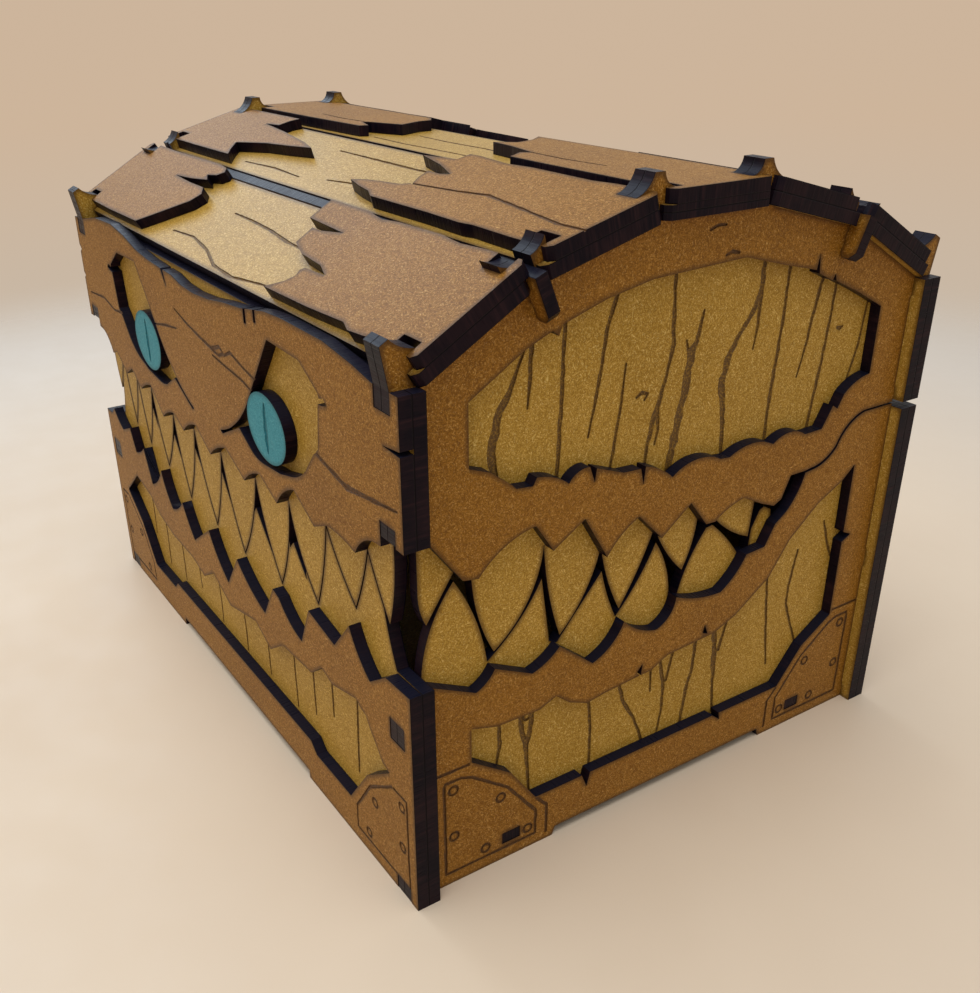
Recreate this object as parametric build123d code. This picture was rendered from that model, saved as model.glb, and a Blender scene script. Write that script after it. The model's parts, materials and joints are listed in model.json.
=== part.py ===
from build123d import *
from dataclasses import dataclass
from math import cos, sin, radians, hypot
import os

# Mimic chest, a hinged box of laser cut sheet
# X runs to the right, Y to the back, Z up. The origin is on the floor under the middle of the box.

# Sheet and fits
SHEET = 3.0
SLOT_FIT = 0.1
TAB_RECESS = 0.1
TEETH_GAP = 0.5
TEETH_END_GAP = 1.3

# Body
WIDTH = 207.2
DEPTH = 153.4
CORNER_OVERHANG = 3.1
PARTING_HEIGHT = 91.75
BASE_FRONT_TOP = 59.0
BACK_SEAM = 1.9
FRONT_SEAM = 0.55
LID_WALL = 32.25
FOOT_HEIGHT = 2.4
FOOT_LENGTH_SIDE = 40.6
FOOT_LENGTH_FRONT = 56.6
FOOT_SLOPE = 0.8
FLOOR_BOTTOM = 4.8
FLOOR_TAB_INSET = 28.1
FLOOR_TAB_WIDTH = 5.0

# Joints between the walls
BASE_TAB_BOTTOM = 43.7
BASE_TAB_HEIGHT = 5.4
FOOT_TAB_TOP = 4.1
LID_TAB_HEIGHT = 3.4
HOOK_TAB_HEIGHT = 4.4

# Faceted lid, measured on the underside of the panels
MID_FACET = 31.4
LOW_FACET = 30.0
MID_SLOPE = 15.0
LOW_SLOPE = 30.0
ROOF_SEAT = 0.17
ROOF_SETBACK = 5.45
PANEL_OVERHANG = 2.5
PANEL_CORNER = 1.2
SEAM = 0.25
RIB_CLEARANCE = 0.1
LOW_PLANK_SETBACK = 1.5
MID_PLANK_SETBACK = 3.4
PLANK_SEAM = 0.3

# Hooks on top of the side walls
NECK = 3.05
RIB_NECK = 3.3
HOOK_REACH = 4.35
HOOK_HEIGHT = 9.1
HOOK_TIP = 1.3
FORK_REACH = 4.8
FORK_ROOT = 5.0
HORN_HEIGHT = 7.6
LIP_REACH = 3.8
LIP_HEIGHT = 10.8
LIP_TIP = 2.2
LIP_SETBACK = 0.4
HOOK_HOLLOW = 0.8
HORN_HOLLOW = 0.5
LIP_HOLLOW = 0.6

# Clip ribs
RIB_TOP = 2.7
RIB_DEPTH = 7.0
RIB_LAP = 3.5
RIB_FIT = 0.05
LEG_DEPTH = 7.3
LEG_WIDTH = 4.1
LEG_ROUND = 1.4

# Eyes
EYE_RIGHT = (40.4, 97.7)
EYE_LEFT = (-43.5, 98.0)
EYE_HALF_WIDTH = 10.8
EYE_HALF_HEIGHT = 8.5
EYE_FIT = 0.15

# Hinges
HINGE_X = 55.0
HINGE_LENGTH = 24.0
LEAF = 1.0
LEAF_HEIGHT = 12.0
BARREL_RADIUS = 1.75
BARREL_STANDOFF = 0.15
PIN_RADIUS = 0.85
PIN_FIT = 0.05
KNUCKLE_GAP = 0.35
SCREW_RADIUS = 0.8
SCREW_LENGTH = 3.8
SCREW_HEAD_RADIUS = 1.5
SCREW_HEAD = 0.6
SCREW_FIT = 0.05
SCREW_SPREAD = 7.5
SCREW_INSET = 8.2
SCREW_SIDES = 8

# The outlines further down were drawn on a chest of these sizes and are stretched to the sizes above
DRAWN_INNER_HALF = 94.5
DRAWN_WALL = 6.0
DRAWN_INNER_DEPTH = 141.4
DRAWN_BASE_TOP = 59.0
DRAWN_LID_BOTTOM = 92.3
DRAWN_WALL_TOP = 124.0
DRAWN_ROOF_TOP = 147.3
DRAWN_PANEL_HALF = 103.0
DRAWN_LOW_FACET = 30.0
DRAWN_MID_FACET = 31.4
DRAWN_TOP_FACET = 29.88

# Derived places
HALF_W = WIDTH / 2
FRONT = -DEPTH / 2
BACK = DEPTH / 2
LINER_FRONT = FRONT + SHEET
INNER_FRONT = FRONT + 2 * SHEET
INNER_BACK = BACK - 2 * SHEET
SIDE_FACE_X = HALF_W - CORNER_OVERHANG
SIDE_LINER_X = SIDE_FACE_X - 2 * SHEET
FOOT_INNER_X = HALF_W - FOOT_LENGTH_FRONT
FLOOR_TAB_Y = DEPTH / 2 - FLOOR_TAB_INSET
BASE_BACK_TOP = PARTING_HEIGHT - BACK_SEAM / 2
LID_BACK_BOTTOM = PARTING_HEIGHT + BACK_SEAM / 2
LID_CORNER_BOTTOM = PARTING_HEIGHT + FRONT_SEAM
LID_WALL_TOP = PARTING_HEIGHT + LID_WALL
BASE_TAB_TOP = BASE_TAB_BOTTOM + BASE_TAB_HEIGHT
LID_TAB_BOTTOM = LID_BACK_BOTTOM
LID_TAB_TOP = LID_TAB_BOTTOM + LID_TAB_HEIGHT
HOOK_SLOT_BOTTOM = LID_WALL_TOP - HOOK_TAB_HEIGHT
LID_SPLIT = LID_TAB_TOP + SHEET
PANEL_HALF = SIDE_FACE_X + PANEL_OVERHANG
RIB_SEAM = SHEET / 2 + RIB_CLEARANCE
HINGE_AXIS_Y = BACK + BARREL_STANDOFF + BARREL_RADIUS
HINGE_AXIS_Z = PARTING_HEIGHT


def on_slope(origin, slope, v, w):
    """Point v up a slope from its lower end and w out of it, counted from the front face."""
    a = radians(slope)
    return (origin[0] + v * cos(a) - w * sin(a), origin[1] + v * sin(a) + w * cos(a))


# Seams of the lid, from its lower edge up, as distance from the front face and height
LOW_EDGE = (ROOF_SETBACK, LID_WALL_TOP + ROOF_SEAT)
LOW_SEAM = on_slope(LOW_EDGE, LOW_SLOPE, LOW_FACET, 0)
TOP_SEAM = on_slope(LOW_SEAM, MID_SLOPE, MID_FACET, 0)
ROOF_TOP = TOP_SEAM[1]
TOP_FACET = DEPTH - 2 * TOP_SEAM[0]
RIB_SLOPE = (MID_SLOPE + LOW_SLOPE) / 2

# Heights that the drawings share with this chest
LEVELS = [(0.0, 0.0), (DRAWN_BASE_TOP, BASE_FRONT_TOP), (DRAWN_LID_BOTTOM, LID_CORNER_BOTTOM),
          (DRAWN_WALL_TOP, LID_WALL_TOP), (DRAWN_ROOF_TOP, ROOF_TOP)]


def height(drawn):
    """Height on this chest of a point drawn at the given height."""
    for (low_drawn, low_here), (high_drawn, high_here) in zip(LEVELS, LEVELS[1:]):
        if drawn <= high_drawn:
            break
    return low_here + (drawn - low_drawn) * (high_here - low_here) / (high_drawn - low_drawn)


def across(drawn):
    return drawn * SIDE_LINER_X / DRAWN_INNER_HALF


def on_front(points):
    """Outline drawn on the front, stretched to this width and these heights."""
    return [(across(x), height(z), *bow) for x, z, *bow in points]


def on_side(points):
    """Outline drawn on a side, stretched to this depth and these heights."""
    stretch = (DEPTH - 4 * SHEET) / DRAWN_INNER_DEPTH
    return [(2 * SHEET + (y - DRAWN_WALL) * stretch, height(z), *bow) for y, z, *bow in points]


def middle(a, b, bow):
    """Point halfway from a to b, pushed to the left of that line by bow."""
    run, rise = b[0] - a[0], b[1] - a[1]
    size = hypot(run, rise)
    return ((a[0] + b[0]) / 2 - rise / size * bow, (a[1] + b[1]) / 2 + run / size * bow)


def outline(start, *steps):
    """Closed face. A step is a point for a line, or a point and a bow for an arc."""
    edges, here = [], start
    for step in steps:
        there = (step[0], step[1])
        if len(step) == 3:
            edges.append(ThreePointArc(here, middle(here, there, step[2]), there))
        else:
            edges.append(Line(here, there))
        here = there
    edges.append(Line(here, start))
    return make_face(edges)


def rect(u0, v0, u1, v1):
    return Pos((u0 + u1) / 2, (v0 + v1) / 2) * Rectangle(abs(u1 - u0), abs(v1 - v0))


def cross_plate(face, y):
    """Plate standing across the box, its front at y."""
    return extrude(Plane.XZ.offset(-(y + SHEET)) * face, SHEET)


def side_plate(face, x):
    """Plate standing front to back, its left face at x. Its outline counts from the front face."""
    return extrude(Plane.YZ.offset(x) * (Pos(FRONT, 0) * face), SHEET)


def mirrored(shape):
    return mirror(shape, about=Plane.YZ)


def turned(shape):
    return Rot(0, 0, 180) * shape


def at_both_ends(u0, v0, u1, v1):
    """The same rectangle at the right and at the left end of a panel."""
    return rect(u0, v0, u1, v1) + rect(-u1, v0, -u0, v1)


# Front plates, seen from the front. Teeth and lips run from right to left.
UPPER_TEETH = [
    (94.2, 92.3), (94.2, 86.0), (91.1, 69.6, 0.7), (82.7, 84.1, 0.3), (75.5, 66.3, 0.5),
    (62.8, 82.0, 0.9), (55.2, 57.5, 0.9), (42.7, 79.7, 1.9), (33.6, 53.0, 1.7),
    (22.5, 78.3, 1.5), (9.0, 51.0, 1.7), (-1.2, 77.3, 1.2), (-11.2, 51.5, 1.2),
    (-21.3, 77.5, 1.3), (-32.2, 52.0, 1.3), (-39.0, 76.3, 0.9), (-50.2, 56.1, 1.2),
    (-57.5, 79.6, 0.9), (-66.3, 58.4, 0.9), (-71.0, 80.8, 0.5), (-79.0, 61.5, 0.6),
    (-83.5, 84.3, 0.5), (-91.1, 69.6, 0.3), (-94.2, 86.0, 0.7), (-94.2, 92.3)]

# Lower teeth that stop short: left end, tip and right end of the cut above each
SHORT_TEETH = [
    ((40.9, 66.0), (43.3, 68.4), (49.5, 61.0)),
    ((19.6, 67.5), (20.8, 68.9), (28.6, 59.6)),
    ((-3.6, 68.4), (-2.2, 70.6), (2.0, 63.6)),
    ((-24.2, 68.6), (-22.6, 70.8), (-18.4, 66.0)),
    ((-42.6, 66.0), (-40.6, 69.0), (-37.0, 63.0)),
    ((-61.0, 69.0), (-58.8, 72.0), (-56.0, 66.5))]

# Tip of the last lower tooth, beside the corner, and the bow of its outer edge
LAST_TOOTH_TIP = (88.0, 76.0, 0.6)

UPPER_LIP = [
    (99.0, 92.3), (94.5, 90.3), (91.0, 90.0), (82.8, 83.8, -1.1), (70.0, 84.8, -0.5),
    (63.0, 81.7), (53.3, 87.0), (42.5, 79.4, -1.1), (33.3, 83.6), (22.5, 78.0, -0.9),
    (11.5, 83.0), (-1.0, 77.0, -0.9), (-10.5, 82.3), (-21.4, 77.2, -0.9),
    (-29.0, 80.2), (-38.8, 76.0, -0.7), (-47.5, 83.3), (-57.4, 79.3, -0.6),
    (-65.0, 83.6), (-71.0, 80.5), (-79.0, 85.4), (-83.5, 84.0),
    (-91.0, 90.0, -1.1), (-94.5, 90.3), (-99.0, 92.3)]

LOWER_LIP = [
    (93.5, 58.6), (86.0, 53.3), (77.3, 63.2, 0.9), (69.0, 53.7), (55.6, 56.3),
    (50.0, 44.7), (37.6, 51.0, 1.2), (34.0, 52.0), (27.0, 41.3), (9.8, 49.8, 1.2),
    (0.8, 38.3), (-11.0, 50.0, 1.1), (-25.0, 40.9), (-32.5, 50.4, 0.5),
    (-43.0, 44.2, 0.9), (-50.0, 54.6, 0.9), (-61.5, 45.8, 1.2), (-66.0, 56.6),
    (-75.0, 52.3, 0.6), (-78.5, 59.6), (-87.0, 56.4), (-94.5, 61.6, 0.6),
    (-98.0, 59.0)]

# Brow line from the left corner to the right one
BROW = [
    (-94.0, 124.6), (-80.0, 127.0), (-64.0, 127.7), (-52.9, 126.3), (-42.6, 124.1), (-33.3, 123.2),
    (-22.3, 122.8), (-14.4, 122.6), (-7.7, 121.4), (1.2, 121.1), (11.6, 121.8), (21.6, 123.2),
    (32.3, 124.2), (38.0, 125.2), (46.0, 126.5), (54.6, 127.0), (74.0, 127.0), (86.0, 125.5),
    (94.0, 124.0)]

EYE_OPENING = [
    (9.4, 87.5), (20.7, 92.7, -0.5), (33.0, 104.4, -0.8), (45.8, 120.2), (62.0, 119.8),
    (70.2, 115.0), (70.6, 114.0), (72.5, 114.6), (74.2, 113.4), (72.0, 112.8), (69.9, 112.6),
    (68.3, 102.0), (65.8, 100.0), (60.8, 94.3), (54.0, 90.4, 0.4), (46.5, 88.5), (37.7, 87.7),
    (30.5, 88.4, 0.4), (23.0, 92.4), (10.8, 86.9)]

BROW_CRACKS = [
    [(33.6, 121.1), (33.6, 126.0), (34.9, 126.0), (34.9, 121.1)],
    [(39.4, 122.6), (39.4, 127.0), (40.6, 127.0), (40.6, 122.6)],
    [(-23.6, 124.0), (-19.4, 118.4), (-21.2, 124.0)],
    [(-106.0, 117.0), (-101.9, 113.9), (-106.0, 111.5)],
    [(-106.0, 108.0), (-102.2, 105.4), (-106.0, 103.0)],
    [(106.0, 113.7), (97.0, 112.7), (106.0, 112.2)]]

LOWER_WINDOW = [
    (72.0, 11.5), (81.5, 24.3), (93.0, 32.8), (90.0, 33.6), (84.5, 40.0), (83.0, 42.4),
    (80.8, 42.9), (78.5, 44.3), (66.0, 41.0), (60.6, 42.7), (54.2, 37.7),
    (37.0, 36.5), (28.0, 30.5), (19.0, 34.8), (0.0, 30.3), (-12.0, 35.6),
    (-20.5, 30.6), (-30.0, 33.0), (-46.0, 33.4), (-58.0, 35.8), (-66.0, 39.8),
    (-79.0, 42.4), (-93.0, 32.2), (-81.5, 24.3), (-72.0, 11.5), (-53.0, 11.5),
    (-50.0, 14.2), (50.0, 14.2), (53.0, 11.5)]
BACK_WINDOW = [
    (72.0, 11.5), (81.5, 24.3), (93.0, 32.8), (93.0, 66.0), (-93.0, 66.0), (-93.0, 32.8),
    (-81.5, 24.3), (-72.0, 11.5)]

# Side plates, seen from the right, counted from the front face of the box to the back
SIDE_UPPER_TEETH = [
    (6.2, 92.7), (6.2, 78.0), (8.0, 70.8, -0.4), (14.9, 81.4), (19.2, 80.6), (25.0, 58.3, -1.4),
    (38.1, 80.9, -2.9), (43.2, 56.2, -0.9), (54.2, 76.0, -1.7), (60.7, 57.4, -0.8),
    (70.2, 76.2, -0.6), (80.2, 61.8, -0.9), (84.0, 76.5, -0.9), (89.5, 73.4),
    (102.3, 64.6, -0.9), (103.4, 75.9), (108.5, 76.2), (111.4, 81.5), (117.2, 80.5)]
SIDE_LOWER_TEETH = [
    (6.0, 57.6), (6.4, 57.8), (14.8, 79.2, 1.9), (23.2, 56.3, 1.3), (37.7, 72.6, -1.3),
    (40.2, 55.6), (42.4, 54.4), (54.8, 69.2), (59.7, 55.5, -0.4), (71.0, 71.9, -0.8),
    (76.5, 55.8, 1.2), (79.2, 54.9), (87.3, 71.2, 1.0), (89.3, 71.4), (99.3, 60.5, 0.5),
    (102.8, 60.5), (103.3, 66.5), (105.6, 71.0), (107.0, 71.6), (109.6, 70.2), (110.0, 67.0),
    (107.6, 62.0), (109.5, 64.0), (113.3, 68.6), (116.0, 72.5), (118.2, 79.0)]
SIDE_UPPER_LIP = [
    (6.2, 92.7), (15.3, 80.5), (19.2, 79.8), (33.6, 87.9, 1.6), (38.5, 80.6), (46.8, 85.9),
    (53.7, 74.5), (62.5, 82.2, 0.8), (70.0, 74.6), (78.4, 81.3), (84.0, 74.3),
    (87.0, 74.2), (96.0, 78.0, 0.6), (102.5, 74.8), (107.0, 73.0), (109.5, 74.2),
    (111.9, 80.0), (117.2, 80.0)]
SIDE_LOWER_LIP = [
    (6.0, 57.8), (18.3, 51.6), (23.3, 56.0, -0.6), (33.5, 50.9), (41.0, 55.4, -0.6),
    (51.0, 47.2), (60.0, 55.5, -1.4), (70.5, 49.6, -1.0), (76.3, 56.8, -1.5),
    (91.5, 53.3, -0.9), (99.3, 61.6, -0.8), (105.6, 62.0), (108.5, 67.5), (112.0, 70.0),
    (117.3, 79.4, -0.7)]

# Line where lid and base part behind the mouth
PARTING_LID = [(119.0, 80.3), (127.5, 84.6, -1.1), (136.5, 92.0, 1.5), (147.4, 92.0)]
PARTING_BASE = [(119.3, 79.6), (128.0, 84.0, -1.1), (137.0, 91.5, 1.5), (147.4, 91.5)]

SIDE_UPPER_WINDOW = [
    (17.0, 104.9), (17.0, 118.6), (30.0, 126.4), (36.6, 129.2), (38.2, 127.9), (39.0, 130.0),
    (50.0, 133.4), (62.0, 135.6), (88.0, 136.6), (100.0, 133.4), (111.0, 130.8),
    (111.6, 134.4), (112.2, 129.8), (117.0, 127.6), (117.8, 129.0), (118.4, 127.3), (127.0, 123.4),
    (136.2, 118.7), (136.2, 101.7), (127.6, 98.0, -0.8), (125.8, 94.6), (124.0, 95.7),
    (121.0, 90.3), (115.0, 90.2), (104.0, 90.2, -1.8), (100.5, 91.6), (89.5, 90.2, -1.0),
    (86.5, 90.5), (71.7, 89.6, -2.2), (63.4, 94.2, -0.6), (63.0, 90.0), (62.0, 94.0),
    (57.0, 94.3), (49.4, 97.2), (49.0, 94.0), (47.5, 98.0), (42.0, 95.5, -0.9),
    (33.6, 99.0, -0.7), (32.6, 97.3), (28.4, 97.8), (27.0, 99.2), (22.0, 103.0)]
SIDE_LOWER_WINDOW = [
    (17.0, 33.2), (17.0, 42.3), (24.0, 40.2), (36.0, 40.0), (40.5, 42.0), (44.5, 38.6),
    (50.0, 36.2), (55.0, 37.0), (65.2, 37.8), (70.0, 38.0), (75.0, 40.6), (91.0, 41.6),
    (98.0, 44.5), (108.7, 52.0), (115.0, 61.3), (124.0, 69.0), (132.0, 73.2), (136.3, 77.0),
    (136.3, 57.4), (139.4, 56.0), (136.3, 54.4), (136.3, 31.7), (126.0, 25.0),
    (118.0, 14.6), (96.0, 14.6), (96.4, 12.3), (93.6, 14.6), (52.0, 14.6), (51.0, 10.6),
    (49.4, 14.6), (35.2, 14.6), (28.0, 25.2)]
SIDE_CHIPS = [
    [(65.2, 39.2), (66.9, 41.0), (66.6, 37.4)],
    [(86.6, 43.0), (87.2, 45.2), (88.4, 42.2)]]

# Broken planks on a facet, as distance along the box and up the slope
LOW_RIGHT = [
    (90.0, 29.4), (82.0, 28.9), (74.0, 29.6), (57.0, 29.3), (51.0, 28.6), (44.0, 29.6),
    (25.3, 29.6), (25.3, 22.7), (37.0, 22.1), (43.8, 21.8), (35.0, 20.3), (30.7, 20.4),
    (31.2, 15.0), (38.0, 12.8), (49.0, 11.9), (54.3, 10.0), (45.0, 9.8), (44.0, 8.8), (44.9, 7.2),
    (43.5, 4.8), (38.6, 1.3), (60.0, 1.5), (75.5, 2.1), (79.0, 0.9), (88.0, 1.6)]
LOW_LEFT = [
    (-80.0, 29.3), (-45.0, 29.6), (-38.5, 29.0), (-36.8, 27.4), (-39.0, 25.6), (-44.3, 24.7),
    (-41.0, 23.1), (-50.0, 21.8), (-61.5, 21.0), (-48.0, 20.3), (-38.0, 20.2), (-34.6, 18.0),
    (-36.0, 14.5), (-43.0, 8.6), (-48.5, 4.0), (-51.5, 1.6), (-75.0, 1.3)]
MID_RIGHT = [
    (90.0, 31.0), (83.0, 30.3), (76.0, 30.4), (62.0, 30.6), (52.7, 30.0), (41.0, 31.0),
    (36.5, 30.9), (36.0, 27.3), (22.6, 25.9), (35.1, 23.2), (43.8, 20.2), (40.4, 19.3),
    (35.2, 19.6), (36.5, 15.9), (38.9, 12.8), (35.8, 11.2), (28.0, 10.3), (22.0, 9.3), (17.5, 7.7),
    (24.5, 6.1), (31.0, 5.1), (35.0, 3.4), (60.0, 3.5), (73.0, 3.2), (77.0, 3.7), (90.0, 3.4)]
MID_LEFT = [
    (-90.0, 31.0), (-58.0, 31.1), (-60.0, 28.5), (-60.3, 25.0), (-68.5, 24.2), (-50.0, 22.0),
    (-30.0, 18.9), (-22.5, 17.0), (-35.0, 15.1), (-46.0, 13.8), (-60.5, 10.3), (-55.0, 6.0),
    (-51.0, 3.5), (-75.0, 3.3)]
TOP_RIGHT = [
    (60.0, 29.5), (22.0, 28.8), (26.0, 24.0), (28.0, 18.0), (23.7, 13.3), (33.0, 12.4),
    (45.3, 9.8), (43.0, 7.8), (45.5, 4.5), (47.2, 2.0), (60.0, 1.6), (85.0, 1.5)]
TOP_LEFT = [
    (-70.0, 29.4), (-33.0, 29.5), (-28.0, 26.5), (-27.5, 22.0), (-23.5, 14.0), (-36.0, 9.5),
    (-36.0, 8.0), (-28.0, 5.5), (-29.0, 3.0), (-60.0, 2.0)]


def upper_front_teeth():
    """Inner layer of the front of the lid before its slots."""
    return outline((HALF_W, LID_WALL_TOP), (HALF_W, LID_CORNER_BOTTOM), *on_front(UPPER_TEETH),
                   (-HALF_W, LID_CORNER_BOTTOM), (-HALF_W, LID_WALL_TOP))


def lid_wall_slots():
    """Slots for the side walls and their hooks, open at the lower and upper edge of the wall."""
    inner, outer = SIDE_LINER_X - SLOT_FIT, SIDE_FACE_X + SLOT_FIT
    return (at_both_ends(inner, LID_TAB_BOTTOM - SHEET, outer, LID_TAB_TOP + SLOT_FIT)
            + at_both_ends(inner, HOOK_SLOT_BOTTOM - SLOT_FIT, outer, LID_WALL_TOP + SHEET))


def base_wall_slots():
    inner, outer = SIDE_LINER_X - SLOT_FIT, SIDE_FACE_X + SLOT_FIT
    return (at_both_ends(inner, BASE_TAB_BOTTOM - SLOT_FIT, outer, BASE_TAB_TOP + SLOT_FIT)
            + at_both_ends(inner, -SHEET, outer, FOOT_TAB_TOP + SLOT_FIT))


def lid_front_liner():
    return cross_plate(upper_front_teeth() - lid_wall_slots(), LINER_FRONT)


def eye_oval(place, margin=0.0):
    """Outline of an eye, or of the least size of its opening where there is a margin."""
    (left, bottom), (right, high) = on_front([
        (place[0] - EYE_HALF_WIDTH, place[1] - EYE_HALF_HEIGHT),
        (place[0] + EYE_HALF_WIDTH, place[1] + EYE_HALF_HEIGHT)])
    oval = Ellipse((right - left) / 2 + margin, (high - bottom) / 2 + margin)
    return Pos((left + right) / 2, (bottom + high) / 2) * oval


def eye_opening(place):
    opening = outline(*on_front(EYE_OPENING))
    if place[0] < 0:
        opening = mirror(opening, about=Plane.YZ)
    return opening + eye_oval(place, EYE_FIT)


def lid_front_face():
    face = outline((HALF_W, LID_WALL_TOP), (HALF_W, LID_CORNER_BOTTOM), *on_front(UPPER_LIP),
                   (-HALF_W, LID_CORNER_BOTTOM), (-HALF_W, LID_WALL_TOP), *on_front(BROW))
    face = face - eye_opening(EYE_RIGHT) - eye_opening(EYE_LEFT) - lid_wall_slots()
    for crack in BROW_CRACKS:
        face = face - outline(*on_front(crack))
    return cross_plate(face, FRONT)


def eye(place):
    return cross_plate(eye_oval(place), FRONT)


def base_blank(top):
    """Base wall across the box up to top, standing on two feet."""
    wall = rect(-HALF_W, 0, HALF_W, top)
    return wall - rect(-FOOT_INNER_X, -SHEET, FOOT_INNER_X, FOOT_HEIGHT) - base_wall_slots()


def base_front_liner():
    """Inner layer of the front of the base, its teeth one gap clear of the upper ones."""
    kept_clear = offset(upper_front_teeth(), TEETH_GAP, kind=Kind.INTERSECTION)
    end, up = SIDE_LINER_X - TEETH_END_GAP, LID_WALL_TOP + SHEET
    blank = base_blank(BASE_FRONT_TOP) + rect(-end, BASE_FRONT_TOP, end, LID_WALL_TOP)
    for left, tip, right in SHORT_TEETH:
        cut = on_front([left, tip, right])
        blank = blank - outline(*cut, (cut[2][0], up), (cut[0][0], up))
    tip, = on_front([LAST_TOOTH_TIP])
    corner = outline((end, BASE_FRONT_TOP), tip, (tip[0], up), (end, up))
    blank = blank - corner - mirror(corner, about=Plane.YZ)
    return cross_plate(blank - kept_clear, LINER_FRONT)


def base_front_face():
    lip = outline((HALF_W, BASE_FRONT_TOP), *on_front(LOWER_LIP), (-HALF_W, BASE_FRONT_TOP),
                  (-HALF_W, 0), (HALF_W, 0))
    feet = rect(-FOOT_INNER_X, -SHEET, FOOT_INNER_X, FOOT_HEIGHT)
    window = outline(*on_front(LOWER_WINDOW))
    return cross_plate(lip - feet - base_wall_slots() - window, FRONT)


def screw_places(side):
    """Middles of the four screws above (1) or below (-1) the hinge axis."""
    return [(sign * HINGE_X + step, HINGE_AXIS_Z + side * SCREW_INSET)
            for sign in (-1, 1) for step in (-SCREW_SPREAD, SCREW_SPREAD)]


def screw_outline(radius):
    """Round cut or shank so small that a few flats are round enough."""
    return RegularPolygon(radius, SCREW_SIDES)


def screw_holes(side):
    hole = screw_outline(SCREW_RADIUS + SCREW_FIT)
    return Sketch() + [Pos(x, z) * hole for x, z in screw_places(side)]


def base_back_liner():
    return cross_plate(base_blank(BASE_BACK_TOP), INNER_BACK)


def base_back_face():
    face = base_blank(BASE_BACK_TOP) - outline(*on_front(BACK_WINDOW)) - screw_holes(-1)
    return cross_plate(face, INNER_BACK + SHEET)


def lid_back_wall():
    return rect(-HALF_W, LID_BACK_BOTTOM, HALF_W, LID_WALL_TOP) - lid_wall_slots()


def lid_back_liner():
    return cross_plate(lid_back_wall(), INNER_BACK)


def lid_back_face():
    return cross_plate(lid_back_wall() - screw_holes(1), INNER_BACK + SHEET)


def floor_panel():
    inner = rect(-SIDE_LINER_X, INNER_FRONT, SIDE_LINER_X, INNER_BACK)
    reach = SIDE_FACE_X - TAB_RECESS
    half = FLOOR_TAB_WIDTH / 2
    for y in (-FLOOR_TAB_Y, FLOOR_TAB_Y):
        inner = inner + rect(-reach, y - half, reach, y + half)
    return extrude(Plane.XY.offset(FLOOR_BOTTOM) * inner, SHEET)


def base_side_blank(chain):
    """Base side wall; the run of teeth or lip goes from front to back."""
    front, back, near, far = TAB_RECESS, DEPTH - TAB_RECESS, 2 * SHEET, DEPTH - 2 * SHEET
    foot = FOOT_LENGTH_SIDE
    face = outline(
        (front, 0), (front, FOOT_TAB_TOP), (near, FOOT_TAB_TOP), (near, BASE_TAB_BOTTOM),
        (front, BASE_TAB_BOTTOM), (front, BASE_TAB_TOP), (near, BASE_TAB_TOP),
        *on_side(chain), *on_side(PARTING_BASE), (far, BASE_TAB_TOP), (back, BASE_TAB_TOP),
        (back, BASE_TAB_BOTTOM), (far, BASE_TAB_BOTTOM), (far, FOOT_TAB_TOP),
        (back, FOOT_TAB_TOP), (back, 0), (DEPTH - foot, 0), (DEPTH - foot - FOOT_SLOPE, FOOT_HEIGHT),
        (foot + FOOT_SLOPE, FOOT_HEIGHT), (foot, 0))
    half = FLOOR_TAB_WIDTH / 2 + SLOT_FIT
    for y in (DEPTH / 2 - FLOOR_TAB_Y, DEPTH / 2 + FLOOR_TAB_Y):
        face = face - rect(y - half, FLOOR_BOTTOM - SLOT_FIT, y + half,
                           FLOOR_BOTTOM + SHEET + SLOT_FIT)
    return face


def low(v, w):
    return on_slope(LOW_EDGE, LOW_SLOPE, v, w)


def mid(v, w):
    return on_slope(LOW_SEAM, MID_SLOPE, v, w)


def top(v, w):
    return on_slope(TOP_SEAM, 0, v, w)


def rib(u, w):
    return on_slope(LOW_SEAM, RIB_SLOPE, u, w)


def half_roof():
    """Front half of a lid side wall above its jaw, with its hooks."""
    near, panel, skin = 2 * SHEET, SHEET, 2 * SHEET
    fork = RIB_FIT + SHEET / 2
    tab = rect(TAB_RECESS, LID_TAB_BOTTOM, near + SHEET, LID_TAB_TOP)
    return tab + outline(
        (near, LID_SPLIT), (DEPTH / 2, LID_SPLIT), (DEPTH / 2, ROOF_TOP),
        top(NECK, 0), top(NECK, panel), top(HOOK_REACH, panel), top(HOOK_REACH, skin),
        (*top(HOOK_TIP, HOOK_HEIGHT), HOOK_HOLLOW), top(-HOOK_TIP, HOOK_HEIGHT),
        (*mid(MID_FACET - HOOK_REACH, skin), HOOK_HOLLOW), mid(MID_FACET - HOOK_REACH, panel),
        mid(MID_FACET - NECK, panel), mid(MID_FACET - NECK, 0),
        mid(RIB_NECK, 0), mid(RIB_NECK, panel), mid(FORK_REACH, panel), mid(FORK_REACH, skin),
        mid(FORK_REACH, HORN_HEIGHT), (*rib(fork, FORK_ROOT), HORN_HOLLOW), rib(fork, -RIB_LAP),
        rib(-fork, -RIB_LAP), rib(-fork, FORK_ROOT),
        (*low(LOW_FACET - FORK_REACH, HORN_HEIGHT), HORN_HOLLOW),
        low(LOW_FACET - FORK_REACH, panel), low(LOW_FACET - RIB_NECK, panel),
        low(LOW_FACET - RIB_NECK, 0), low(-SLOT_FIT, 0), low(-SLOT_FIT, panel),
        low(LIP_REACH, panel), low(LIP_REACH, skin), (*low(LIP_SETBACK, LIP_HEIGHT), LIP_HOLLOW),
        low(LIP_SETBACK - LIP_TIP, LIP_HEIGHT), (TAB_RECESS, LID_WALL_TOP),
        (TAB_RECESS, HOOK_SLOT_BOTTOM), (near, HOOK_SLOT_BOTTOM))


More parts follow.
